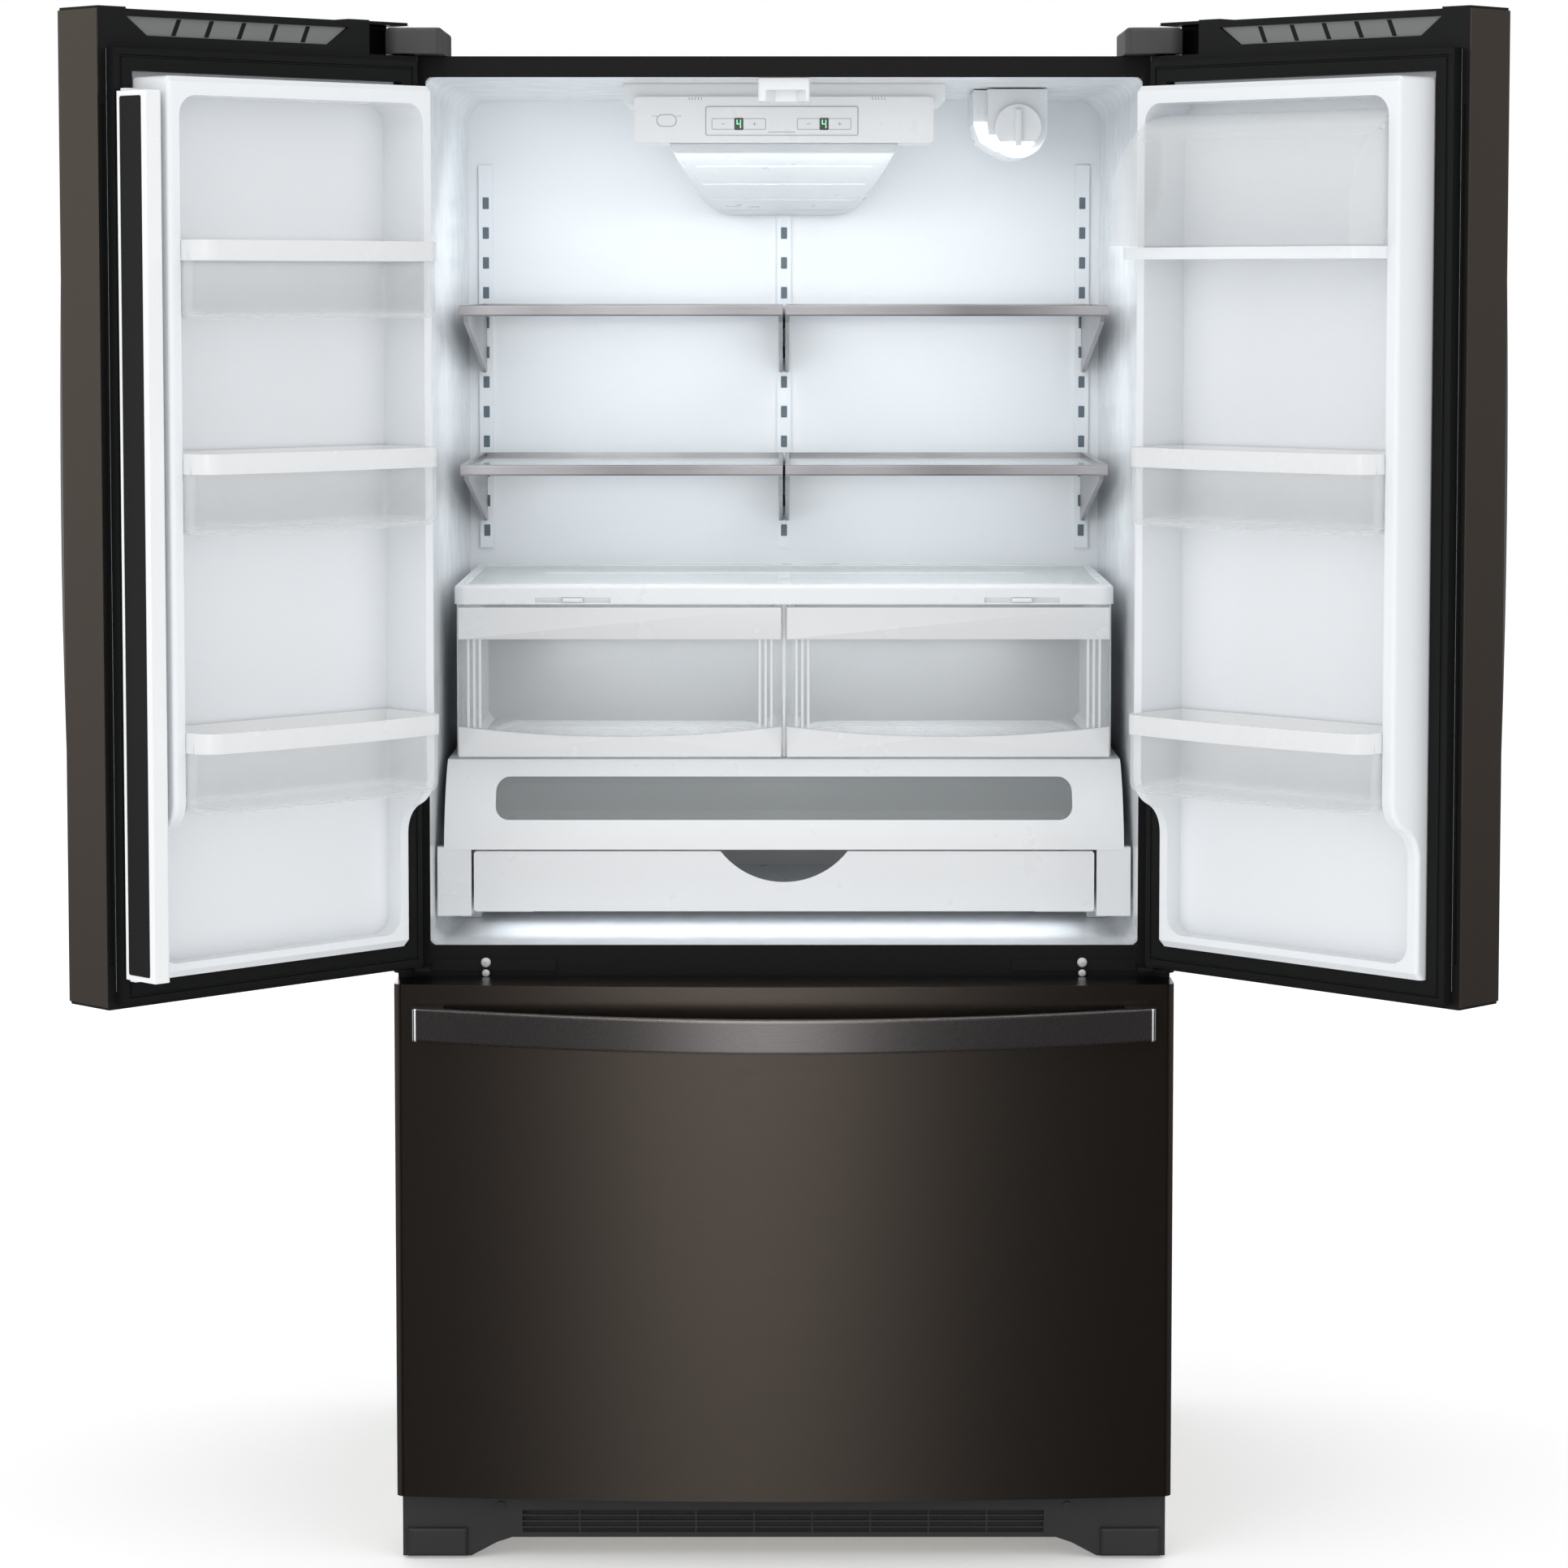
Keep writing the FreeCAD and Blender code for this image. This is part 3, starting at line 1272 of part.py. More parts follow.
def freezer_gasket():
    x = half_width - gasket_inset
    z0, z1 = drawer_bottom + 18, drawer_top - 2
    y0, y1 = drawer_edge + 0.1, drawer_edge + gasket_height
    ring = box(-x, x, y0, y1, z0, z1)
    w = gasket_width
    ring = ring.cut(box(-x + w, x - w, y0 - 1, y1 + 1, z0 + w, z1 - w))
    groove = box(-x + 7, x - 7, y1 - 4, y1 + 1, z0 + 7, z1 - 7)
    return ring.cut(groove.cut(box(-x + 10, x - 10, y1 - 5, y1 + 2, z0 + 10, z1 - 10)))


grip_half = 428.0
grip_top = 657.0
grip_height = 39.0
grip_end_y = -32.0
grip_centre_y = -92.0
grip_drop = 5.0
grip_thickness = 14.0


def freezer_handle():
    """Wide bar, bowed forward and slightly down in the middle, on two end mounts."""
    path_points = [
        Vector(-grip_half, grip_end_y, 0), Vector(0, grip_centre_y, 0), Vector(grip_half, grip_end_y, 0)
    ]
    outer = Part.Arc(*path_points).toShape()
    back = Vector(0, grip_thickness, 0)
    inner = Part.Arc(*[point + back for point in path_points]).toShape()
    ends = [
        Part.LineSegment(point, point + back).toShape()
        for point in (path_points[0], path_points[2])
    ]
    plan = Part.Face(Part.Wire(Part.__sortEdges__([outer, ends[1], inner, ends[0]])))
    slab = plan.extrude(Vector(0, 0, 80))
    slab.translate(Vector(0, 0, grip_top - 60))
    top = [
        Vector(-grip_half - 1, -200, grip_top),
        Vector(0, -200, grip_top - grip_drop),
        Vector(grip_half + 1, -200, grip_top),
    ]
    low = [point - Vector(0, 0, grip_height) for point in top]
    side_edges = [
        Part.Arc(*top).toShape(),
        Part.Arc(*low).toShape(),
        Part.LineSegment(top[0], low[0]).toShape(),
        Part.LineSegment(top[2], low[2]).toShape(),
    ]
    elevation = Part.Face(Part.Wire(Part.__sortEdges__(side_edges))).extrude(Vector(0, 300, 0))
    bar = slab.common(elevation)
    bar = fillet_where(bar, 3, lambda point, edge: edge.BoundBox.XLength > 500)
    mounts = []
    for sign in (-1, 1):
        x0, x1 = sorted((sign * grip_half, sign * (grip_half - 34)))
        mounts.append(
            box(x0, x1, grip_end_y + grip_thickness - 8, 20, grip_top - grip_height + 2, grip_top - 2)
        )
    solid_front = bowed_block(-half_width, half_width, drawer_edge, drawer_bottom, drawer_top)
    return join([bar] + mounts).cut(solid_front)


upper_half = 366.0
upper_bottom = 430.0
upper_top = 600.0
upper_front = 120.0
upper_back = 340.0

basket_half = 372.0
basket_bottom = 128.0
basket_top = 330.0
basket_back = 440.0


def wire_basket_box(x, y0, y1, z0, z1, wall):
    """A moulded basket with slotted sides."""
    outer = tapered((-x, x, z0, z1, 14, y0), (-x, x, z0, z1, 14, y1))
    inner = tapered(
        (-x + wall, x - wall, z0 + wall, z1 + 60, 12, y0 + wall),
        (-x + wall, x - wall, z0 + wall, z1 + 60, 12, y1 - wall),
    )
    basket = outer.cut(inner)
    rim = box(-x - 6, x + 6, y0, y1, z1 - 6, z1).cut(
        box(-x + wall, x - wall, y0 + wall, y1 - wall, z1 - 7, z1 + 1)
    )
    basket = join([basket, rim])
    slots = [
        box(centre - 9, centre + 9, y0 - 1, y1 + 1, z0 + 22, z1 - 30)
        for centre in range(-330, 331, 44)
    ]
    return basket.cut(group(slots))


def freezer_basket():
    """Lower basket with the moving members of its slides, and the two arms that carry the upper basket."""
    y0 = drawer_edge + 26
    basket = wire_basket_box(basket_half, y0 + 10, basket_back, basket_bottom, basket_top, 3)
    slides, arms = [], []
    for sign in (-1, 1):
        x0, x1 = sorted((sign * (basket_half + 8), sign * (basket_half + 16)))
        rail = box(x0, x1, y0 - 1.9, basket_back, 250, 275)
        hook = box(
            *sorted((sign * (basket_half - 1), sign * (basket_half + 10))),
            y0 + 20,
            basket_back - 20,
            268,
            274,
        )
        arm = box(
            *sorted((sign * (upper_half + 2.5), sign * (upper_half + 20))),
            y0 - 1.9,
            basket_back,
            upper_top - 15,
            upper_top - 6.4,
        )
        slides += [rail, hook]
        arms.append(arm)
    return group([join([basket] + slides)] + arms)


def upper_basket():
    return wire_basket_box(upper_half, upper_front, upper_back, upper_bottom, upper_top, 3)


# ---------------------------------------------------------------- writing the nodes


def opened(shape, side):
    """Turn a closed door part about its hinge; side is -1 for the left door and 1 for the right."""
    turned = shape.copy()
    turned.rotate(Vector(side * hinge_x, hinge_y, 0), Vector(0, 0, 1), side * door_open_angle)
    return turned


flap_fold = 90.0


def folded_flap():
    """Fold the mullion flap inwards, then open it with the left door."""
    flap = mullion_flap()
    flap.rotate(Vector(flap_hinge_x, flap_hinge_y, 0), Vector(0, 0, 1), flap_fold)
    return opened(flap, -1)


def write(name, shape):
    placed = shape.copy()
    placed.translate(Vector(0, -depth_middle, 0))
    placed.exportStep("parts/" + name + ".step")


def write_cabinet():
    write("cabinet_shell", cabinet_shell())
    write("fridge_liner", fridge_liner())
    write("freezer_liner", freezer_liner())
    write("cabinet_foam", cabinet_foam())
    write("back_panel", back_panel())
    write("machine_cover", machine_cover())
    write("base_frame", base_frame())
    write("base_grille", base_grille())
    write("levelling_legs", levelling_legs())
    write("front_rollers", roller_pair(front_roller_y, roller_radius + 2))
    write("rear_rollers", roller_pair(rear_roller_y, roller_radius))
    motors = [
        fan_motor(condenser_fan_centre, 14, cabinet_base - 2),
        fan_motor(evaporator_fan_centre, 12, freezer_ceiling),
    ]
    write("sealed_system", sealed_system())
    write("fan_motors", group(motors))
    write("condenser_fan", fan_rotor(condenser_fan_centre, 58, 14))
    write("evaporator_fan", fan_rotor(evaporator_fan_centre, fan_radius, 12))
    write("door_hinges", door_hinges())
    write("hinge_covers", hinge_covers())


def write_interior():
    write("control_panel", control_panel())
    for name, x in pads.items():
        write(name + "_button", panel_pad(x))
    write("alarm_button", alarm_button())
    write("light_lens", light_lens())
    write("filter_housing", filter_housing())
    write("water_filter", water_filter())
    write("mullion_guide", mullion_guide())
    write("shelf_frames", shelf_frames())
    write("shelf_glass", shelf_glass())
    write("crisper_cover", crisper_cover())
    for name, x in zip(("left", "right"), slider_centres):
        write("humidity_slider_" + name, humidity_slider(x))
    write("crisper_left", crisper(-1))
    write("crisper_right", crisper(1))
    write("pantry_cover", pantry_cover())
    write("pantry_window", pantry_window())
    write("pantry_drawer", pantry_drawer())


def write_doors():
    shared = {
        "skin": door_skin(),
        "caps": door_caps(),
        "gasket": door_gasket(),
        "handle": door_handle(),
    }
    liner = door_liner()
    for name, shape in shared.items():
        write("left_door_" + name, opened(shape, -1))
        write("right_door_" + name, opened(mirrored(shape), 1))
    write("left_door_liner", opened(join([liner, flap_knuckles()]), -1))
    write("right_door_liner", opened(mirrored(join([liner, dairy_shelf()])), 1))
    for name, (z0, z1) in bin_heights.items():
        shape = door_bin(z0, z1)
        write("left_bin_" + name, opened(shape, -1))
        if name != "top":
            write("right_bin_" + name, opened(mirrored(shape), 1))
    write("dairy_lid", opened(mirrored(dairy_lid()), 1))
    write("mullion_flap", folded_flap())


def write_drawer():
    write("freezer_front", freezer_front())
    write("freezer_panel", freezer_panel())
    write("freezer_gasket", freezer_gasket())
    write("freezer_handle", freezer_handle())
    write("freezer_basket", freezer_basket())
    write("upper_basket", upper_basket())


def build():
    os.makedirs("parts", exist_ok=True)
    write_cabinet()
    write_interior()
    write_doors()
    write_drawer()


build()
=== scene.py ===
import json
import math

import bmesh
import bpy
from mathutils import Matrix, Vector


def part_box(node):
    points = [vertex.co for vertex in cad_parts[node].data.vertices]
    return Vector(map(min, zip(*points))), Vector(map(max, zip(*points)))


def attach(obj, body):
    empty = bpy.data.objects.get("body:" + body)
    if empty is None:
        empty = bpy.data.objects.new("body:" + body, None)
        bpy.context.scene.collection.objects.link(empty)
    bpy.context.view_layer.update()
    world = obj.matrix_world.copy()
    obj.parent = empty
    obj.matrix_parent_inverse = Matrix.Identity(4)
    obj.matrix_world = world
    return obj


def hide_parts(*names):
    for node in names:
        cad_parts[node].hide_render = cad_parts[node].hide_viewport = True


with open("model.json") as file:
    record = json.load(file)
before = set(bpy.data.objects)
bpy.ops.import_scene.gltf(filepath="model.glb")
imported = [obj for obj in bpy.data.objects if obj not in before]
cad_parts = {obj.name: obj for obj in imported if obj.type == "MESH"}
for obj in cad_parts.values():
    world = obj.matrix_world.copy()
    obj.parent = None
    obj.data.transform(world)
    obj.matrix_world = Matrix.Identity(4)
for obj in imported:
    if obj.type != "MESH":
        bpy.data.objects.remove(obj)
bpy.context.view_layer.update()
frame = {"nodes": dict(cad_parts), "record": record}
nodes = frame["nodes"]
record = frame["record"]

# ---------------------------------------------------------------- camera
# The camera stands in front of the object and above its middle. A small tilt and a small lens shift
# together turn the view down to it, which keeps the upright edges nearly parallel.

camera_distance = 5.352
camera_height = 1.483
camera_tilt = 4.33
focal_length = 102.77
lens_shift = -0.1


def add_camera():
    data = bpy.data.cameras.new("camera")
    data.lens = focal_length
    data.sensor_width = 36.0
    data.shift_y = lens_shift
    camera = bpy.data.objects.new("camera", data)
    camera.location = (0.0, -camera_distance, camera_height)
    camera.rotation_euler = (math.radians(90 - camera_tilt), 0, 0)
    bpy.context.scene.collection.objects.link(camera)
    bpy.context.scene.camera = camera


add_camera()

# ---------------------------------------------------------------- materials

noise_low = 0.3
noise_high = 0.7
grazing_blend = 0.35
grazing_start = 0.15


class Surface:
    """A Principled material whose colour, roughness and bump vary with procedural noise."""

    def __init__(self, name, colour, roughness, metallic=0.0):
        self.material = bpy.data.materials.new(name)
        self.material.use_nodes = True
        self.tree = self.material.node_tree
        self.shader = self.tree.nodes["Principled BSDF"]
        self.set("Base Color", (*colour, 1.0))
        self.set("Roughness", roughness)
        self.set("Metallic", metallic)
        self.colour = colour
        self.roughness = roughness
        self.place = self.tree.nodes.new("ShaderNodeTexCoord").outputs["Object"]

    def set(self, socket, value):
        self.shader.inputs[socket].default_value = value
        return self

    def link(self, source, target):
        self.tree.links.new(source, target)

    def noise(self, scale, stretch=(1, 1, 1), detail=3.0):
        """A noise value between 0 and 1; stretch above 1 makes it finer along that axis."""
        mapping = self.tree.nodes.new("ShaderNodeMapping")
        mapping.inputs["Scale"].default_value = stretch
        self.link(self.place, mapping.inputs["Vector"])
        texture = self.tree.nodes.new("ShaderNodeTexNoise")
        texture.inputs["Scale"].default_value = scale
        texture.inputs["Detail"].default_value = detail
        self.link(mapping.outputs["Vector"], texture.inputs["Vector"])
        return texture.outputs["Fac"]

    def ranged(self, value, low, high, start=noise_low, end=noise_high):
        """The value carried over from start..end to low..high."""
        node = self.tree.nodes.new("ShaderNodeMapRange")
        node.inputs["From Min"].default_value = start
        node.inputs["From Max"].default_value = end
        node.inputs["To Min"].default_value = low
        node.inputs["To Max"].default_value = high
        self.link(value, node.inputs["Value"])
        return node.outputs["Result"]

    def vary_roughness(self, scale, amount, stretch=(1, 1, 1)):
        low = max(0.02, self.roughness - amount)
        high = min(1.0, self.roughness + amount)
        value = self.ranged(self.noise(scale, stretch), low, high)
        self.link(value, self.shader.inputs["Roughness"])
        return self

    def vary_colour(self, scale, amount, stretch=(1, 1, 1)):
        ramp = self.tree.nodes.new("ShaderNodeValToRGB")
        dark = [max(0.0, channel * (1 - amount)) for channel in self.colour]
        light = [min(1.0, channel * (1 + amount)) for channel in self.colour]
        for element, place, shade in zip(ramp.color_ramp.elements, (noise_low, noise_high), (dark, light)):
            element.position = place
            element.color = (*shade, 1.0)
        self.link(self.noise(scale, stretch), ramp.inputs["Fac"])
        self.link(ramp.outputs["Color"], self.shader.inputs["Base Color"])
        return self

    def bump(self, scale, depth, stretch=(1, 1, 1), detail=4.0):
        """Bump of a given depth in metres."""
        node = self.tree.nodes.new("ShaderNodeBump")
        node.inputs["Distance"].default_value = depth
        node.inputs["Strength"].default_value = 1.0
        self.link(self.noise(scale, stretch, detail), node.inputs["Height"])
        self.link(node.outputs["Normal"], self.shader.inputs["Normal"])
        return self

    def see_through(self, film, rim):
        """Mix with a transparent shader: film shows face on, rim at a grazing angle."""
        weight = self.tree.nodes.new("ShaderNodeLayerWeight")
        weight.inputs["Blend"].default_value = grazing_blend
        opacity = self.ranged(weight.outputs["Facing"], film, rim, grazing_start, 1.0)
        clear = self.tree.nodes.new("ShaderNodeBsdfTransparent")
        mix = self.tree.nodes.new("ShaderNodeMixShader")
        self.link(opacity, mix.inputs["Fac"])
        self.link(clear.outputs["BSDF"], mix.inputs[1])
        self.link(self.shader.outputs["BSDF"], mix.inputs[2])
        self.link(mix.outputs["Shader"], self.tree.nodes["Material Output"].inputs["Surface"])
        return self

    def glow(self, strength, colour):
        self.set("Emission Color", (*colour, 1.0))
        return self.set("Emission Strength", strength)


def brushed(name, colour, roughness, metallic, depth, stretch):
    """Metal with very fine long scratches."""
    surface = Surface(name, colour, roughness, metallic)
    surface.vary_roughness(12, 0.03, stretch)
    surface.vary_colour(10, 0.03, stretch)
    surface.bump(14, depth, stretch)
    return surface


def moulded(name, colour, roughness, grain_depth=0.00002, grain_scale=900):
    """Injection-moulded plastic: fine grain, slight unevenness of gloss and of colour."""
    surface = Surface(name, colour, roughness)
    surface.vary_roughness(25, 0.03)
    surface.vary_colour(1.5, 0.006)
    surface.bump(grain_scale, grain_depth)
    return surface


def clear(name, colour, roughness, film, rim):
    """Thin clear plastic or glass."""
    surface = Surface(name, colour, roughness)
    surface.vary_roughness(30, 0.015)
    surface.bump(9, 0.000008)
    return surface.see_through(film, rim)


along_x = (1, 300, 300)
along_z = (300, 300, 1)
matt_specular = 0.15

surfaces = {
    "dark_steel": brushed("dark_steel", (0.094, 0.078, 0.066), 0.23, 0.95, 0.0000006, along_x),
    "cabinet_paint": brushed("cabinet_paint", (0.01, 0.01, 0.0105), 0.42, 0.0, 0.000003, along_x),
    "handle_steel": brushed("handle_steel", (0.245, 0.228, 0.224), 0.26, 0.95, 0.0000006, along_x),
    "chrome": brushed("chrome", (0.8, 0.8, 0.8), 0.15, 1.0, 0.000001, along_z),
    "dark_plastic": moulded("dark_plastic", (0.0105, 0.011, 0.011), 0.4),
    "grille_plastic": moulded("grille_plastic", (0.027, 0.027, 0.028), 0.45),
    "cover_plastic": moulded("cover_plastic", (0.062, 0.062, 0.064), 0.45),
    "vent_plastic": moulded("vent_plastic", (0.19, 0.195, 0.195), 0.4),
    "gasket_rubber": moulded("gasket_rubber", (0.009, 0.0095, 0.0095), 0.5, 0.00005, 400),
    "liner_white": moulded("liner_white", (0.84, 0.865, 0.89), 0.22, 0.00002, 60),
    "white_plastic": moulded("white_plastic", (0.86, 0.875, 0.89), 0.3),
    "rim_white": moulded("rim_white", (0.78, 0.79, 0.8), 0.25),
    "clear_plastic": clear("clear_plastic", (0.88, 0.9, 0.91), 0.06, 0.1, 0.75),
    "shelf_glass": clear("shelf_glass", (0.8, 0.86, 0.86), 0.03, 0.13, 0.7),
    "lens_plastic": moulded("lens_plastic", (0.74, 0.76, 0.78), 0.3),
    "shelf_metal": brushed("shelf_metal", (0.4, 0.39, 0.4), 0.3, 0.85, 0.000002, along_x),
    "slot_shadow": moulded("slot_shadow", (0.12, 0.165, 0.2), 0.5),
    "foam": moulded("foam", (0.75, 0.66, 0.42), 0.8, 0.0004, 120),
    "zinc_steel": brushed("zinc_steel", (0.42, 0.43, 0.44), 0.42, 0.8, 0.00002, (3, 3, 3)),
    "bracket_black": brushed("bracket_black", (0.012, 0.012, 0.0125), 0.4, 0.1, 0.000003, along_x),
    "screw_white": moulded("screw_white", (0.78, 0.78, 0.77), 0.35),
    "copper_and_iron": brushed("copper_and_iron", (0.03, 0.03, 0.032), 0.38, 0.2, 0.00003, (2, 2, 2)),
    "black_plastic": moulded("black_plastic", (0.012, 0.012, 0.012), 0.5),
    "button_plastic": moulded("button_plastic", (0.86, 0.875, 0.89), 0.35),
    "mark_grey": moulded("mark_grey", (0.34, 0.36, 0.38), 0.5),
    "display_black": moulded("display_black", (0.01, 0.014, 0.012), 0.12),
    "digit_green": moulded("digit_green", (0.2, 0.8, 0.35), 0.4).glow(1.1, (0.25, 0.85, 0.4)),
}

surfaces["shelf_metal"].vary_colour(3.2, 0.4)
for matt_name in ("cabinet_paint", "dark_plastic", "gasket_rubber", "bracket_black", "black_plastic"):
    surfaces[matt_name].set("Specular IOR Level", matt_specular)

node_surfaces = {
    "fridge_liner": "liner_white",
    "freezer_liner": "liner_white",
    "left_door_liner": "liner_white",
    "right_door_liner": "liner_white",
    "freezer_panel": "liner_white",
    "hinge_covers": "cover_plastic",
    "base_grille": "grille_plastic",
    "door_hinges": "bracket_black",
    "alarm_button": "button_plastic",
}


def dress_cad_nodes():
    """Give every CAD node the surface of its material slot, or a closer match where one is listed."""
    for part in record["subparts"]:
        name = part["node"]
        surface = surfaces[node_surfaces.get(name, part["material_slot"])]
        nodes[name].data.materials.clear()
        nodes[name].data.materials.append(surface.material)


dress_cad_nodes()

# ---------------------------------------------------------------- placing and building pieces

upright = Matrix.Identity(4)


def opening_turn(joint_name, before=upright):
    """The matrix that turns a joint's points from its lowest angle to the rest pose.

    The points are in the coordinates that the matrix before starts from.
    """
    joint = next(item for item in record["behaviour"]["joints"] if item["name"] == joint_name)
    pin = Matrix.Translation(before.inverted() @ Vector(joint["pos_m"]))
    turn = Matrix.Rotation(math.radians(-joint["range_deg"][0]), 4, Vector(joint["axis"]))
    return pin @ turn @ pin.inverted()


doors = {side: opening_turn(side + "_door_hinge") for side in ("left", "right")}


def extent(node, matrix=upright):
    """Lowest and highest corner of a node in the coordinates that the matrix starts from."""
    back = matrix.inverted()
    points = [back @ vertex.co for vertex in nodes[node].data.vertices]
    low = Vector([min(point[axis] for point in points) for axis in range(3)])
    high = Vector([max(point[axis] for point in points) for axis in range(3)])
    return low, high


def node_corners(node):
    """Lowest and highest corner of a node, as vectors."""
    low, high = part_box(node)
    return Vector(low), Vector(high)


sharp_angle = 32
weld_distance = 0.00001


def finish_piece(name, form, surface_names, body, matrix=upright):
    """Turn a bmesh into an object that rides on a body."""
    mesh = bpy.data.meshes.new(name)
    bmesh.ops.recalc_face_normals(form, faces=form.faces)
    form.to_mesh(mesh)
    form.free()
    mesh.transform(matrix)
    for surface_name in surface_names:
        mesh.materials.append(surfaces[surface_name].material)
    mesh.shade_smooth()
    mesh.set_sharp_from_angle(angle=math.radians(sharp_angle))
    piece = bpy.data.objects.new(name, mesh)
    bpy.context.scene.collection.objects.link(piece)
    weighted = piece.modifiers.new("weighted", "WEIGHTED_NORMAL")
    weighted.keep_sharp = True
    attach(piece, body)
    return piece


def add_block(form, low, high, bevel, segments=3):
    """Add a block with rounded edges."""
    size = Vector(high) - Vector(low)
    centre = (Vector(high) + Vector(low)) / 2
    place = Matrix.Translation(centre) @ Matrix.Diagonal((*size, 1.0))
    block = bmesh.ops.create_cube(form, size=1.0, matrix=place)
    corners = set(block["verts"])
    edges = [edge for edge in form.edges if edge.verts[0] in corners and edge.verts[1] in corners]
    bmesh.ops.bevel(form, geom=edges, offset=bevel, segments=segments, profile=0.5, affect="EDGES")


def add_plate(form, outline, y0, y1, bevel):
    """Add a plate with the outline, given as (x, z) points, between two y planes."""
    front = [form.verts.new((x, y0, z)) for x, z in outline]
    back = [form.verts.new((x, y1, z)) for x, z in outline]
    form.faces.new(front)
    form.faces.new(list(reversed(back)))
    count = len(outline)
    for index in range(count):
        after = (index + 1) % count
        form.faces.new((front[after], front[index], back[index], back[after]))
    rims = [form.edges.get((front[index], front[(index + 1) % count])) for index in range(count)]
    bmesh.ops.bevel(form, geom=rims, offset=bevel, segments=2, profile=0.5, affect="EDGES")


def rounded_outline(x0, x1, z0, z1, radius, steps=6):
    """Points round a rectangle with round corners."""
    left, right, low, high = x0 + radius, x1 - radius, z0 + radius, z1 - radius
    centres = [(right, high), (left, high), (left, low), (right, low)]
    points = []
    for quarter, (x, z) in enumerate(centres):
        for step in range(steps + 1):
            angle = math.radians(90 * (quarter + step / steps))
            points.append((x + radius * math.cos(angle), z + radius * math.sin(angle)))
    return points


def join_rings(form, first, second):
    """Add the faces between two rings with the same number of points."""
    count = len(first)
    for index in range(count):
        after = (index + 1) % count
        form.faces.new((first[index], first[after], second[after], second[index]))


def add_ring(form, outline, radius, y, sides=8):
    """Add a round bead that follows a closed outline of (x, z) points in the plane y."""
    count = len(outline)
    rings = []
    for index in range(count):
        before, here, after = (Vector(outline[(index + shift) % count]) for shift in (-1, 0, 1))
        along = (after - before).normalized()
        across = Vector((along.y, -along.x))
        ring = []
        for side in range(sides):
            angle = 2 * math.pi * side / sides
            offset = across * radius * math.cos(angle)
            ring.append(form.verts.new((here.x + offset.x, y + radius * math.sin(angle), here.y + offset.y)))
        rings.append(ring)
    for index in range(count):
        join_rings(form, rings[index], rings[(index + 1) % count])


screw_profile = ((0.16, 0.30), (0.16, 0.62), (0.55, 0.55), (0.85, 0.35), (1.0, 0.0))
screw_sides = 24


def add_screw(form, x, y, z, radius):
    """Add a domed screw head facing -Y, with a round recess; its profile is in parts of the radius."""
    rings = []
    for part, rise in screw_profile:
        ring = []
        for side in range(screw_sides):
            angle = 2 * math.pi * side / screw_sides
            point_x = x + radius * part * math.cos(angle)
            point_z = z + radius * part * math.sin(angle)
            ring.append(form.verts.new((point_x, y - radius * rise, point_z)))
        rings.append(ring)
    form.faces.new(rings[0])
    for first, second in zip(rings, rings[1:]):
        join_rings(form, first, second)
    form.faces.new(rings[-1])


def split_copy(name, node, body, surface_names, planes, choose):
    """Replace a node by a copy of its mesh, cut at the planes, with a surface chosen for each face."""
    form = bmesh.new()
    form.from_mesh(nodes[node].data)
    for point, normal in planes:
        geometry = list(form.verts) + list(form.edges) + list(form.faces)
        bmesh.ops.bisect_plane(form, geom=geometry, plane_co=point, plane_no=normal, dist=weld_distance)
    bmesh.ops.remove_doubles(form, verts=form.verts, dist=weld_distance)
    for face in form.faces:
        face.material_index = choose(face.calc_center_median())
    piece = finish_piece(name, form, surface_names, body)
    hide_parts(node)
    return piece


# ---------------------------------------------------------------- door bins

rim_height = 0.022
rim_margin = 0.00005


def add_bins():
    """Clear bins with a white rim band."""
    for node in [name for name in nodes if "_bin_" in name]:
        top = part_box(node)[1][2]
        side = node.split("_")[0]
        level = top - rim_height
        split_copy(
            node + "_moulding",
            node,
            side + "_door",
            ("clear_plastic", "rim_white"),
            [((0, 0, level), (0, 0, 1))],
            lambda point, level=level: int(point.z > level - rim_margin),
        )


add_bins()

# ---------------------------------------------------------------- crispers

band_depth = 0.0045
flute_radius = 0.0016
flute_insets = (0.012, 0.019, 0.026)
flute_front = 0.0038
flute_back = 0.0048
flute_bottom_gap = 0.034
flute_top_gap = 0.038
flute_bevel = 0.0004


def add_flutes(node, low, high):
    """Fluted strips at both sides of a crisper's window."""
    form = bmesh.new()
    for x in [low.x + inset for inset in flute_insets] + [high.x - inset for inset in flute_insets]:
        start = (x - flute_radius, low.y + flute_front, low.z + flute_bottom_gap)
        end = (x + flute_radius, low.y + flute_back, high.z - flute_top_gap)
        add_block(form, start, end, flute_bevel)
    finish_piece(node + "_flutes", form, ("rim_white",), node)


def add_crispers():
    """Clear pans with white grip bands and flutes."""
    for node in ("crisper_left", "crisper_right"):
        low, high = node_corners(node)
        split_copy(
            node + "_pan",
            node,
            node,
            ("clear_plastic", "rim_white"),
            [],
            lambda point, front=low.y: int(point.y < front + band_depth),
        )
        add_flutes(node, low, high)


add_crispers()

# ---------------------------------------------------------------- mullion face

face_edge_inset = 0.0045
face_hinge_inset = 0.0095
face_end_inset = 0.0055
face_radius = 0.002
face_sink = 0.00005
face_back = 0.0009
face_bevel = 0.0003


def add_mullion_face():
    """Dark sheet-steel face let into the white body of the mullion flap."""
    shut = doors["left"] @ opening_turn("mullion_hinge", doors["left"])
    low, high = extent("mullion_flap", shut)
    outline = rounded_outline(
        low.x + face_edge_inset,
        high.x - face_hinge_inset,
        low.z + face_end_inset,
        high.z - face_end_inset,
        face_radius,
    )
    form = bmesh.new()
    add_plate(form, outline, low.y + face_sink, low.y + face_back, face_bevel)
    finish_piece("mullion_face", form, ("bracket_black",), "mullion", shut)


add_mullion_face()

# ---------------------------------------------------------------- control panel details

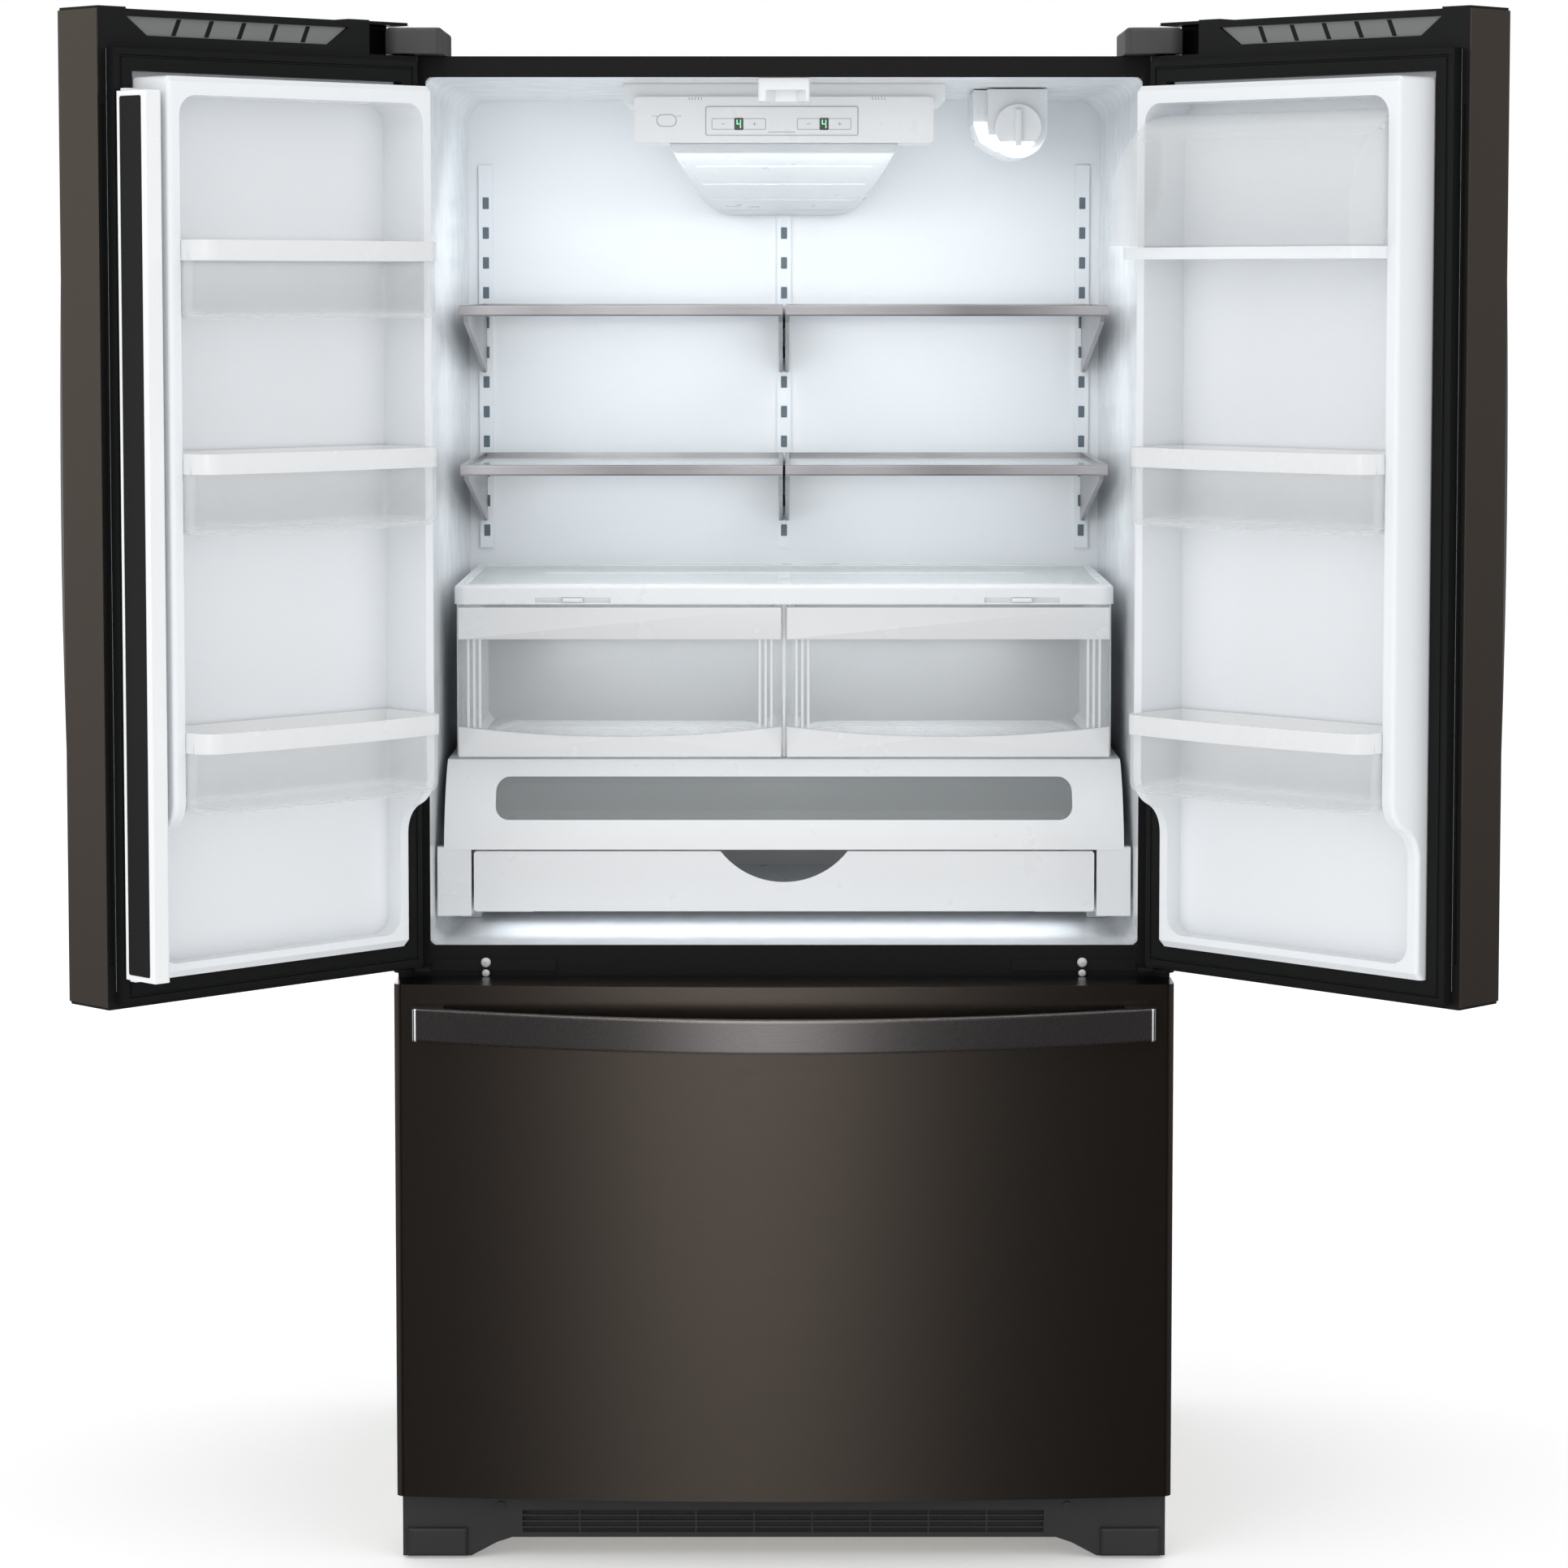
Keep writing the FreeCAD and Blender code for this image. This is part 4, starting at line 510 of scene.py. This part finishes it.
pad_names = ("freezer_minus_button", "freezer_plus_button", "fridge_minus_button", "fridge_plus_button")
pad_stand = 0.0005
digit_height = 0.0098
digit_width = 0.0052
digit_rise = 0.0002
stroke = 0.0011
window_half_width = 0.0052
window_half_height = 0.0072
window_front = 0.0003
window_back = 0.0006
window_radius = 0.001
fine_bevel = 0.0001
sign_half = 0.0022
sign_stroke = 0.0003
mark_rise = 0.0001
line_gap = 0.0003
pad_radius = 0.0016
pad_line = 0.0003
alarm_radius = 0.0064
alarm_line = 0.0005
frame_gaps = {"left": 0.0075, "right": 0.0085, "bottom": 0.0075, "top": 0.0145}
frame_radius = 0.002
frame_line = 0.00035
frame_front = 0.0006
legend_half = 0.016
legend_low = 0.0035
legend_high = 0.0042
tick_places = (-0.016, -0.0125, 0.0125, 0.016)
tick_half = 0.0005
tick_bottom = 0.002
tick_top = 0.0005
vent_centres = (-0.105, 0.112)
vent_count = 5
vent_pitch = 0.0036
vent_drop = 0.0195
vent_height = 0.003
vent_back = 0.0002


def add_bars(form, bars, y, thickness):
    """Add thin bars, given as (x0, x1, z0, z1), that stand out from the plane y."""
    for x0, x1, z0, z1 in bars:
        bevel = min(x1 - x0, z1 - z0, thickness) * 0.3
        add_block(form, (x0, y - thickness, z0), (x1, y, z1), bevel, 2)


def pad_outline(low, high, radius, steps=6):
    """The outline just outside a pad."""
    return rounded_outline(
        low.x - line_gap, high.x + line_gap, low.z - line_gap, high.z + line_gap, radius, steps
    )


def digit_four(x, z):
    """The lit bars of a seven-bar 4 with its middle at x, z."""
    left, right = x - digit_width / 2, x + digit_width / 2
    low, high = z - digit_height / 2, z + digit_height / 2
    return [
        (left, left + stroke, z, high),
        (right - stroke, right, z + stroke, high),
        (left, right, z - stroke / 2, z + stroke / 2),
        (right - stroke, right, low, z - stroke),
    ]


def add_displays(pads, face):
    """A dark window between each pair of pads, with its lit digit."""
    windows, digits = bmesh.new(), bmesh.new()
    for minus, plus in (pad_names[:2], pad_names[2:]):
        x = (pads[minus][1].x + pads[plus][0].x) / 2
        z = (pads[minus][0].z + pads[minus][1].z) / 2
        z0, z1 = z - window_half_height, z + window_half_height
        outline = rounded_outline(x - window_half_width, x + window_half_width, z0, z1, window_radius)
        add_plate(windows, outline, face - window_front, face + window_back, fine_bevel)
        add_bars(digits, digit_four(x, z), face - window_front, digit_rise)
    finish_piece("display_windows", windows, ("display_black",), "cabinet")
    finish_piece("display_digits", digits, ("digit_green",), "cabinet")


def add_pad_marks(name, low, high, face):
    """A pad's plus or minus sign, and the line round the pad."""
    marks = bmesh.new()
    x, z = (low.x + high.x) / 2, (low.z + high.z) / 2
    bars = [(x - sign_half, x + sign_half, z - sign_stroke, z + sign_stroke)]
    if "plus" in name:
        bars.append((x - sign_stroke, x + sign_stroke, z - sign_half, z + sign_half))
    add_bars(marks, bars, low.y, mark_rise)
    finish_piece(name + "_sign", marks, ("mark_grey",), name)
    outline = bmesh.new()
    add_ring(outline, pad_outline(low, high, pad_radius), pad_line, face)
    finish_piece(name + "_outline", outline, ("mark_grey",), "cabinet")


def add_panel_lines(pads, face):
    """The line round the controls, the alarm button's line and ticks, the legend bar and the two vents."""
    first, last = pads["freezer_minus_button"][0], pads["fridge_plus_button"][1]
    bottom = pads["fridge_plus_button"][0].z - frame_gaps["bottom"]
    top = last.z + frame_gaps["top"]
    lines = bmesh.new()
    left, right = first.x - frame_gaps["left"], last.x + frame_gaps["right"]
    frame_outline = rounded_outline(left, right, bottom, top, frame_radius)
    add_ring(lines, frame_outline, frame_line, face - frame_front)
    low, high = pads["alarm_button"]
    add_ring(lines, pad_outline(low, high, alarm_radius, 10), alarm_line, face)
    middle = (pads["freezer_plus_button"][1].x + pads["fridge_minus_button"][0].x) / 2
    bars = [(middle - legend_half, middle + legend_half, bottom + legend_low, bottom + legend_high)]
    for place in tick_places:
        x = low.x / 2 + high.x / 2 + place
        bars.append((x - tick_half, x + tick_half, high.z - tick_bottom, high.z - tick_top))
    add_bars(lines, bars, face, mark_rise)
    z = node_corners("control_panel")[1].z - vent_drop
    for centre in vent_centres:
        for step in range(vent_count):
            x = centre + (step - vent_count // 2) * vent_pitch
            start = (x - tick_half, face - mark_rise, z)
            end = (x + tick_half, face + vent_back, z + vent_height)
            add_block(lines, start, end, fine_bevel, 2)
    finish_piece("control_outline", lines, ("mark_grey",), "cabinet")


def add_control_marks():
    """Displays, signs and printed lines, placed from the pads of the control panel."""
    pads = {name: node_corners(name) for name in pad_names + ("alarm_button",)}
    face = pads["fridge_plus_button"][0].y + pad_stand
    add_displays(pads, face)
    for name in pad_names:
        add_pad_marks(name, *pads[name], face)
    add_panel_lines(pads, face)


add_control_marks()

# ---------------------------------------------------------------- shelf standards

standard_columns = (-0.382, 0.0, 0.382)
slot_width = 0.0078
slot_height = 0.0148
slot_pitch = 0.0381
slot_count = 12
first_slot = 1.165
slot_radius = 0.0012
wall_thickness = 0.0025
slot_front = 0.0038
slot_back = 0.0004
slot_lift = 0.0001
slot_bevel = 0.0003


def add_standard_slot_shade():
    """Painted shade: dark plates in the slots of the three slotted ladders on the rear wall, standing in for
    the shade inside the openings.
    """
    wall = node_corners("fridge_liner")[1].y - wall_thickness
    form = bmesh.new()
    for column in standard_columns:
        for step in range(slot_count):
            z = first_slot + slot_pitch * step
            x0, x1 = column - slot_width / 2, column + slot_width / 2
            outline = rounded_outline(x0, x1, z + slot_lift, z + slot_height, slot_radius)
            # each plate is painted shade inside one slot opening
            add_plate(form, outline, wall - slot_front, wall - slot_back, slot_bevel)
    finish_piece("standard_slot_shade", form, ("slot_shadow",), "cabinet")


add_standard_slot_shade()

# ---------------------------------------------------------------- gaskets and door edges

bead_inset = 0.0085
bead_corner = 0.001
bead_radius = 0.0014
bead_depth = 0.0016


def add_gasket_beads():
    """The soft bellows bead in each door gasket's groove."""
    for side, matrix in doors.items():
        low, high = extent(side + "_door_gasket", matrix)
        x0, x1 = low.x + bead_inset, high.x - bead_inset
        outline = rounded_outline(x0, x1, low.z + bead_inset, high.z - bead_inset, bead_corner, 2)
        form = bmesh.new()
        add_ring(form, outline, bead_radius, high.y - bead_depth)
        finish_piece(side + "_gasket_bead", form, ("gasket_rubber",), side + "_door", matrix)


add_gasket_beads()

vent_depth = 0.004
vent_bottom = 0.0298
vent_top = 0.0097
vent_bottom_span = (0.129, 0.3815)
vent_top_span = (0.1005, 0.4095)
insert_back = 0.0002
insert_front = 0.0008
insert_bevel = 0.0002
slit_count = 5
first_slit = 0.1605
slit_pitch = 0.045
slit_width = 0.006
slit_lean = 0.002
slit_margin = 0.001
slit_back = 0.0001
slit_front = 0.0011
slit_bevel = 0.0001


def vent_shapes(low, high):
    """The insert's outline and its slits, as (distance from the door's outer edge, z) points."""
    insert = [
        (vent_bottom_span[0], low),
        (vent_bottom_span[1], low),
        (vent_top_span[1], high),
        (vent_top_span[0], high),
    ]
    slits = []
    for step in range(slit_count):
        place = first_slit + slit_pitch * step
        slits.append([
            (place, low + slit_margin),
            (place + slit_width, low + slit_margin),
            (place - slit_lean, high - slit_margin),
            (place - slit_lean - slit_width, high - slit_margin),
        ])
    return insert, slits


def across_door(shape, outer, inward):
    """The shape's points in x and z, in an order that runs the same way round on both doors."""
    return [(outer + inward * reach, z) for reach, z in shape][::inward]


def add_cap_vents():
    """Grey vented insert in the back of each door's top cap, with dark bars in its slits as painted shade.
    """
    for side, matrix in doors.items():
        low, high = extent(side + "_door_caps", matrix)
        outer, inward = (low.x, 1) if side == "left" else (high.x, -1)
        y = high.y - vent_depth
        insert, slits = vent_shapes(high.z - vent_bottom, high.z - vent_top)
        form, bars = bmesh.new(), bmesh.new()
        add_plate(form, across_door(insert, outer, inward), y - insert_back, y + insert_front, insert_bevel)
        # the dark bars in the slits are painted shade, standing in for the shade inside the openings
        for slit in slits:
            add_plate(bars, across_door(slit, outer, inward), y - slit_back, y + slit_front, slit_bevel)
        finish_piece(side + "_cap_vent", form, ("vent_plastic",), side + "_door", matrix)
        finish_piece(side + "_cap_slit_shade", bars, ("dark_plastic",), side + "_door", matrix)


add_cap_vents()

# ---------------------------------------------------------------- screws and handle ends

bracket_screw_x = 0.349
bracket_screws = ((0.696, 0.0058), (0.6835, 0.0045))
bracket_front = 0.0053


def add_bracket_screws():
    """Painted screw heads on the two centre hinge brackets."""
    front = node_corners("cabinet_shell")[0].y - bracket_front
    form = bmesh.new()
    for x in (-bracket_screw_x, bracket_screw_x):
        for z, radius in bracket_screws:
            add_screw(form, x, front, z, radius)
    finish_piece("bracket_screws", form, ("screw_white",), "cabinet")


add_bracket_screws()

cap_length = 0.006
cap_depth = 0.0165
cap_front = 0.0012
cap_bottom = 0.0392
cap_top = 0.0004
cap_margin = 0.0001
cap_radius = 0.002
end_zone = 0.003


def end_front(node, x):
    """The foremost y of a node near one of its ends."""
    return min(vertex.co.y for vertex in nodes[node].data.vertices if abs(vertex.co.x - x) < end_zone)


def add_handle_caps():
    """Bright end caps on the freezer handle."""
    low, high = node_corners("freezer_handle")
    form = bmesh.new()
    for sign, x in ((-1, low.x), (1, high.x)):
        x0, x1 = sorted((x - sign * cap_margin, x - sign * cap_length))
        y = end_front("freezer_handle", x) - cap_front
        add_block(form, (x0, y, high.z - cap_bottom), (x1, y + cap_depth, high.z - cap_top), cap_radius, 4)
    finish_piece("freezer_handle_caps", form, ("chrome",), "freezer_drawer")


add_handle_caps()

# ---------------------------------------------------------------- room and light

floor_half = 14.0


def add_floor():
    """A white floor that lights the underside a little."""
    mesh = bpy.data.meshes.new("floor")
    corners = [(floor_half * x, floor_half * y, 0) for x, y in ((-1, -1), (1, -1), (1, 1), (-1, 1))]
    mesh.from_pydata(corners, [], [(0, 1, 2, 3)])
    floor = bpy.data.objects.new("floor", mesh)
    bpy.context.scene.collection.objects.link(floor)
    surface = Surface("floor", (0.93, 0.93, 0.93), 0.7)
    surface.vary_colour(2, 0.006)
    surface.vary_roughness(8, 0.05)
    surface.glow(0.25, (1, 1, 1))
    floor.data.materials.append(surface.material)
    floor.visible_glossy = False


cool_white = (0.96, 0.98, 1.0)


def area_light(name, location, target, size, power, colour=cool_white):
    """A rectangular lamp that is seen neither directly nor in glossy surfaces."""
    data = bpy.data.lights.new(name, "AREA")
    data.shape = "RECTANGLE"
    data.size, data.size_y = size
    data.energy = power
    data.color = colour
    light = bpy.data.objects.new(name, data)
    light.location = location
    direction = Vector(target) - Vector(location)
    light.rotation_euler = direction.to_track_quat("-Z", "Y").to_euler()
    light.visible_camera = False
    light.visible_glossy = False
    bpy.context.scene.collection.objects.link(light)


studio_bands = (
    (0.0, 0.3),
    (0.22, 0.02),
    (0.395, 0.02),
    (0.48, 1.0),
    (0.58, 0.01),
    (0.78, 0.015),
    (1.0, 0.16),
)
studio_strength = 2.8
studio_floor_share = 0.2
studio_fade = (-0.36, 0.05)


def add_world():
    """A white studio; glossy surfaces see softboxes in it.

    The softboxes are upright bands of brightness across the view, and they fade towards the floor.
    """
    world = bpy.data.worlds.new("world")
    world.use_nodes = True
    tree = world.node_tree
    bright = tree.nodes["Background"]
    bright.inputs["Color"].default_value = (1, 1, 1, 1)
    bright.inputs["Strength"].default_value = 1.0
    place = tree.nodes.new("ShaderNodeTexCoord")
    split = tree.nodes.new("ShaderNodeSeparateXYZ")
    tree.links.new(place.outputs["Generated"], split.inputs["Vector"])
    across = tree.nodes.new("ShaderNodeMapRange")
    across.inputs["From Min"].default_value = -1.0
    tree.links.new(split.outputs["X"], across.inputs["Value"])
    ramp = tree.nodes.new("ShaderNodeValToRGB")
    ramp.color_ramp.interpolation = "EASE"
    elements = ramp.color_ramp.elements
    while len(elements) < len(studio_bands):
        elements.new(0.5)
    for element, (position, value) in zip(elements, studio_bands):
        element.position = position
        element.color = (value, value, value, 1.0)
    tree.links.new(across.outputs["Result"], ramp.inputs["Fac"])
    fade = tree.nodes.new("ShaderNodeMapRange")
    fade.interpolation_type = "SMOOTHSTEP"
    fade.inputs["From Min"].default_value = studio_fade[0]
    fade.inputs["From Max"].default_value = studio_fade[1]
    fade.inputs["To Min"].default_value = studio_floor_share * studio_strength
    fade.inputs["To Max"].default_value = studio_strength
    tree.links.new(split.outputs["Z"], fade.inputs["Value"])
    studio = tree.nodes.new("ShaderNodeBackground")
    tree.links.new(ramp.outputs["Color"], studio.inputs["Color"])
    tree.links.new(fade.outputs["Result"], studio.inputs["Strength"])
    path = tree.nodes.new("ShaderNodeLightPath")
    choice = tree.nodes.new("ShaderNodeMixShader")
    tree.links.new(path.outputs["Is Glossy Ray"], choice.inputs["Fac"])
    tree.links.new(bright.outputs["Background"], choice.inputs[1])
    tree.links.new(studio.outputs["Background"], choice.inputs[2])
    tree.links.new(choice.outputs["Shader"], tree.nodes["World Output"].inputs["Surface"])
    bpy.context.scene.world = world


def add_lights():
    """A softbox on the left in front, and the fridge's own light spread over its compartments."""
    bpy.context.scene.view_settings.view_transform = "Standard"
    area_light("key", (-2.6, -4.2, 2.6), (0, 0, 0.9), (2.4, 2.4), 18, (1, 1, 1))
    area_light("cabinet_light", (0, 0.02, 1.63), (0, 0.22, 1.3), (0.6, 0.2), 1.95)
    for height in (1.36, 1.2):
        area_light("shelf_light", (0, -0.03, height), (0, 0.3, height), (0.7, 0.05), 0.5)
    area_light("crisper_light", (0, 0.3, 1.09), (0, 0.2, 0.9), (0.6, 0.2), 0.8)
    area_light("floor_light", (0, -0.03, 0.744), (0, -0.03, 0.7), (0.7, 0.12), 0.34)


add_world()
add_floor()
add_lights()
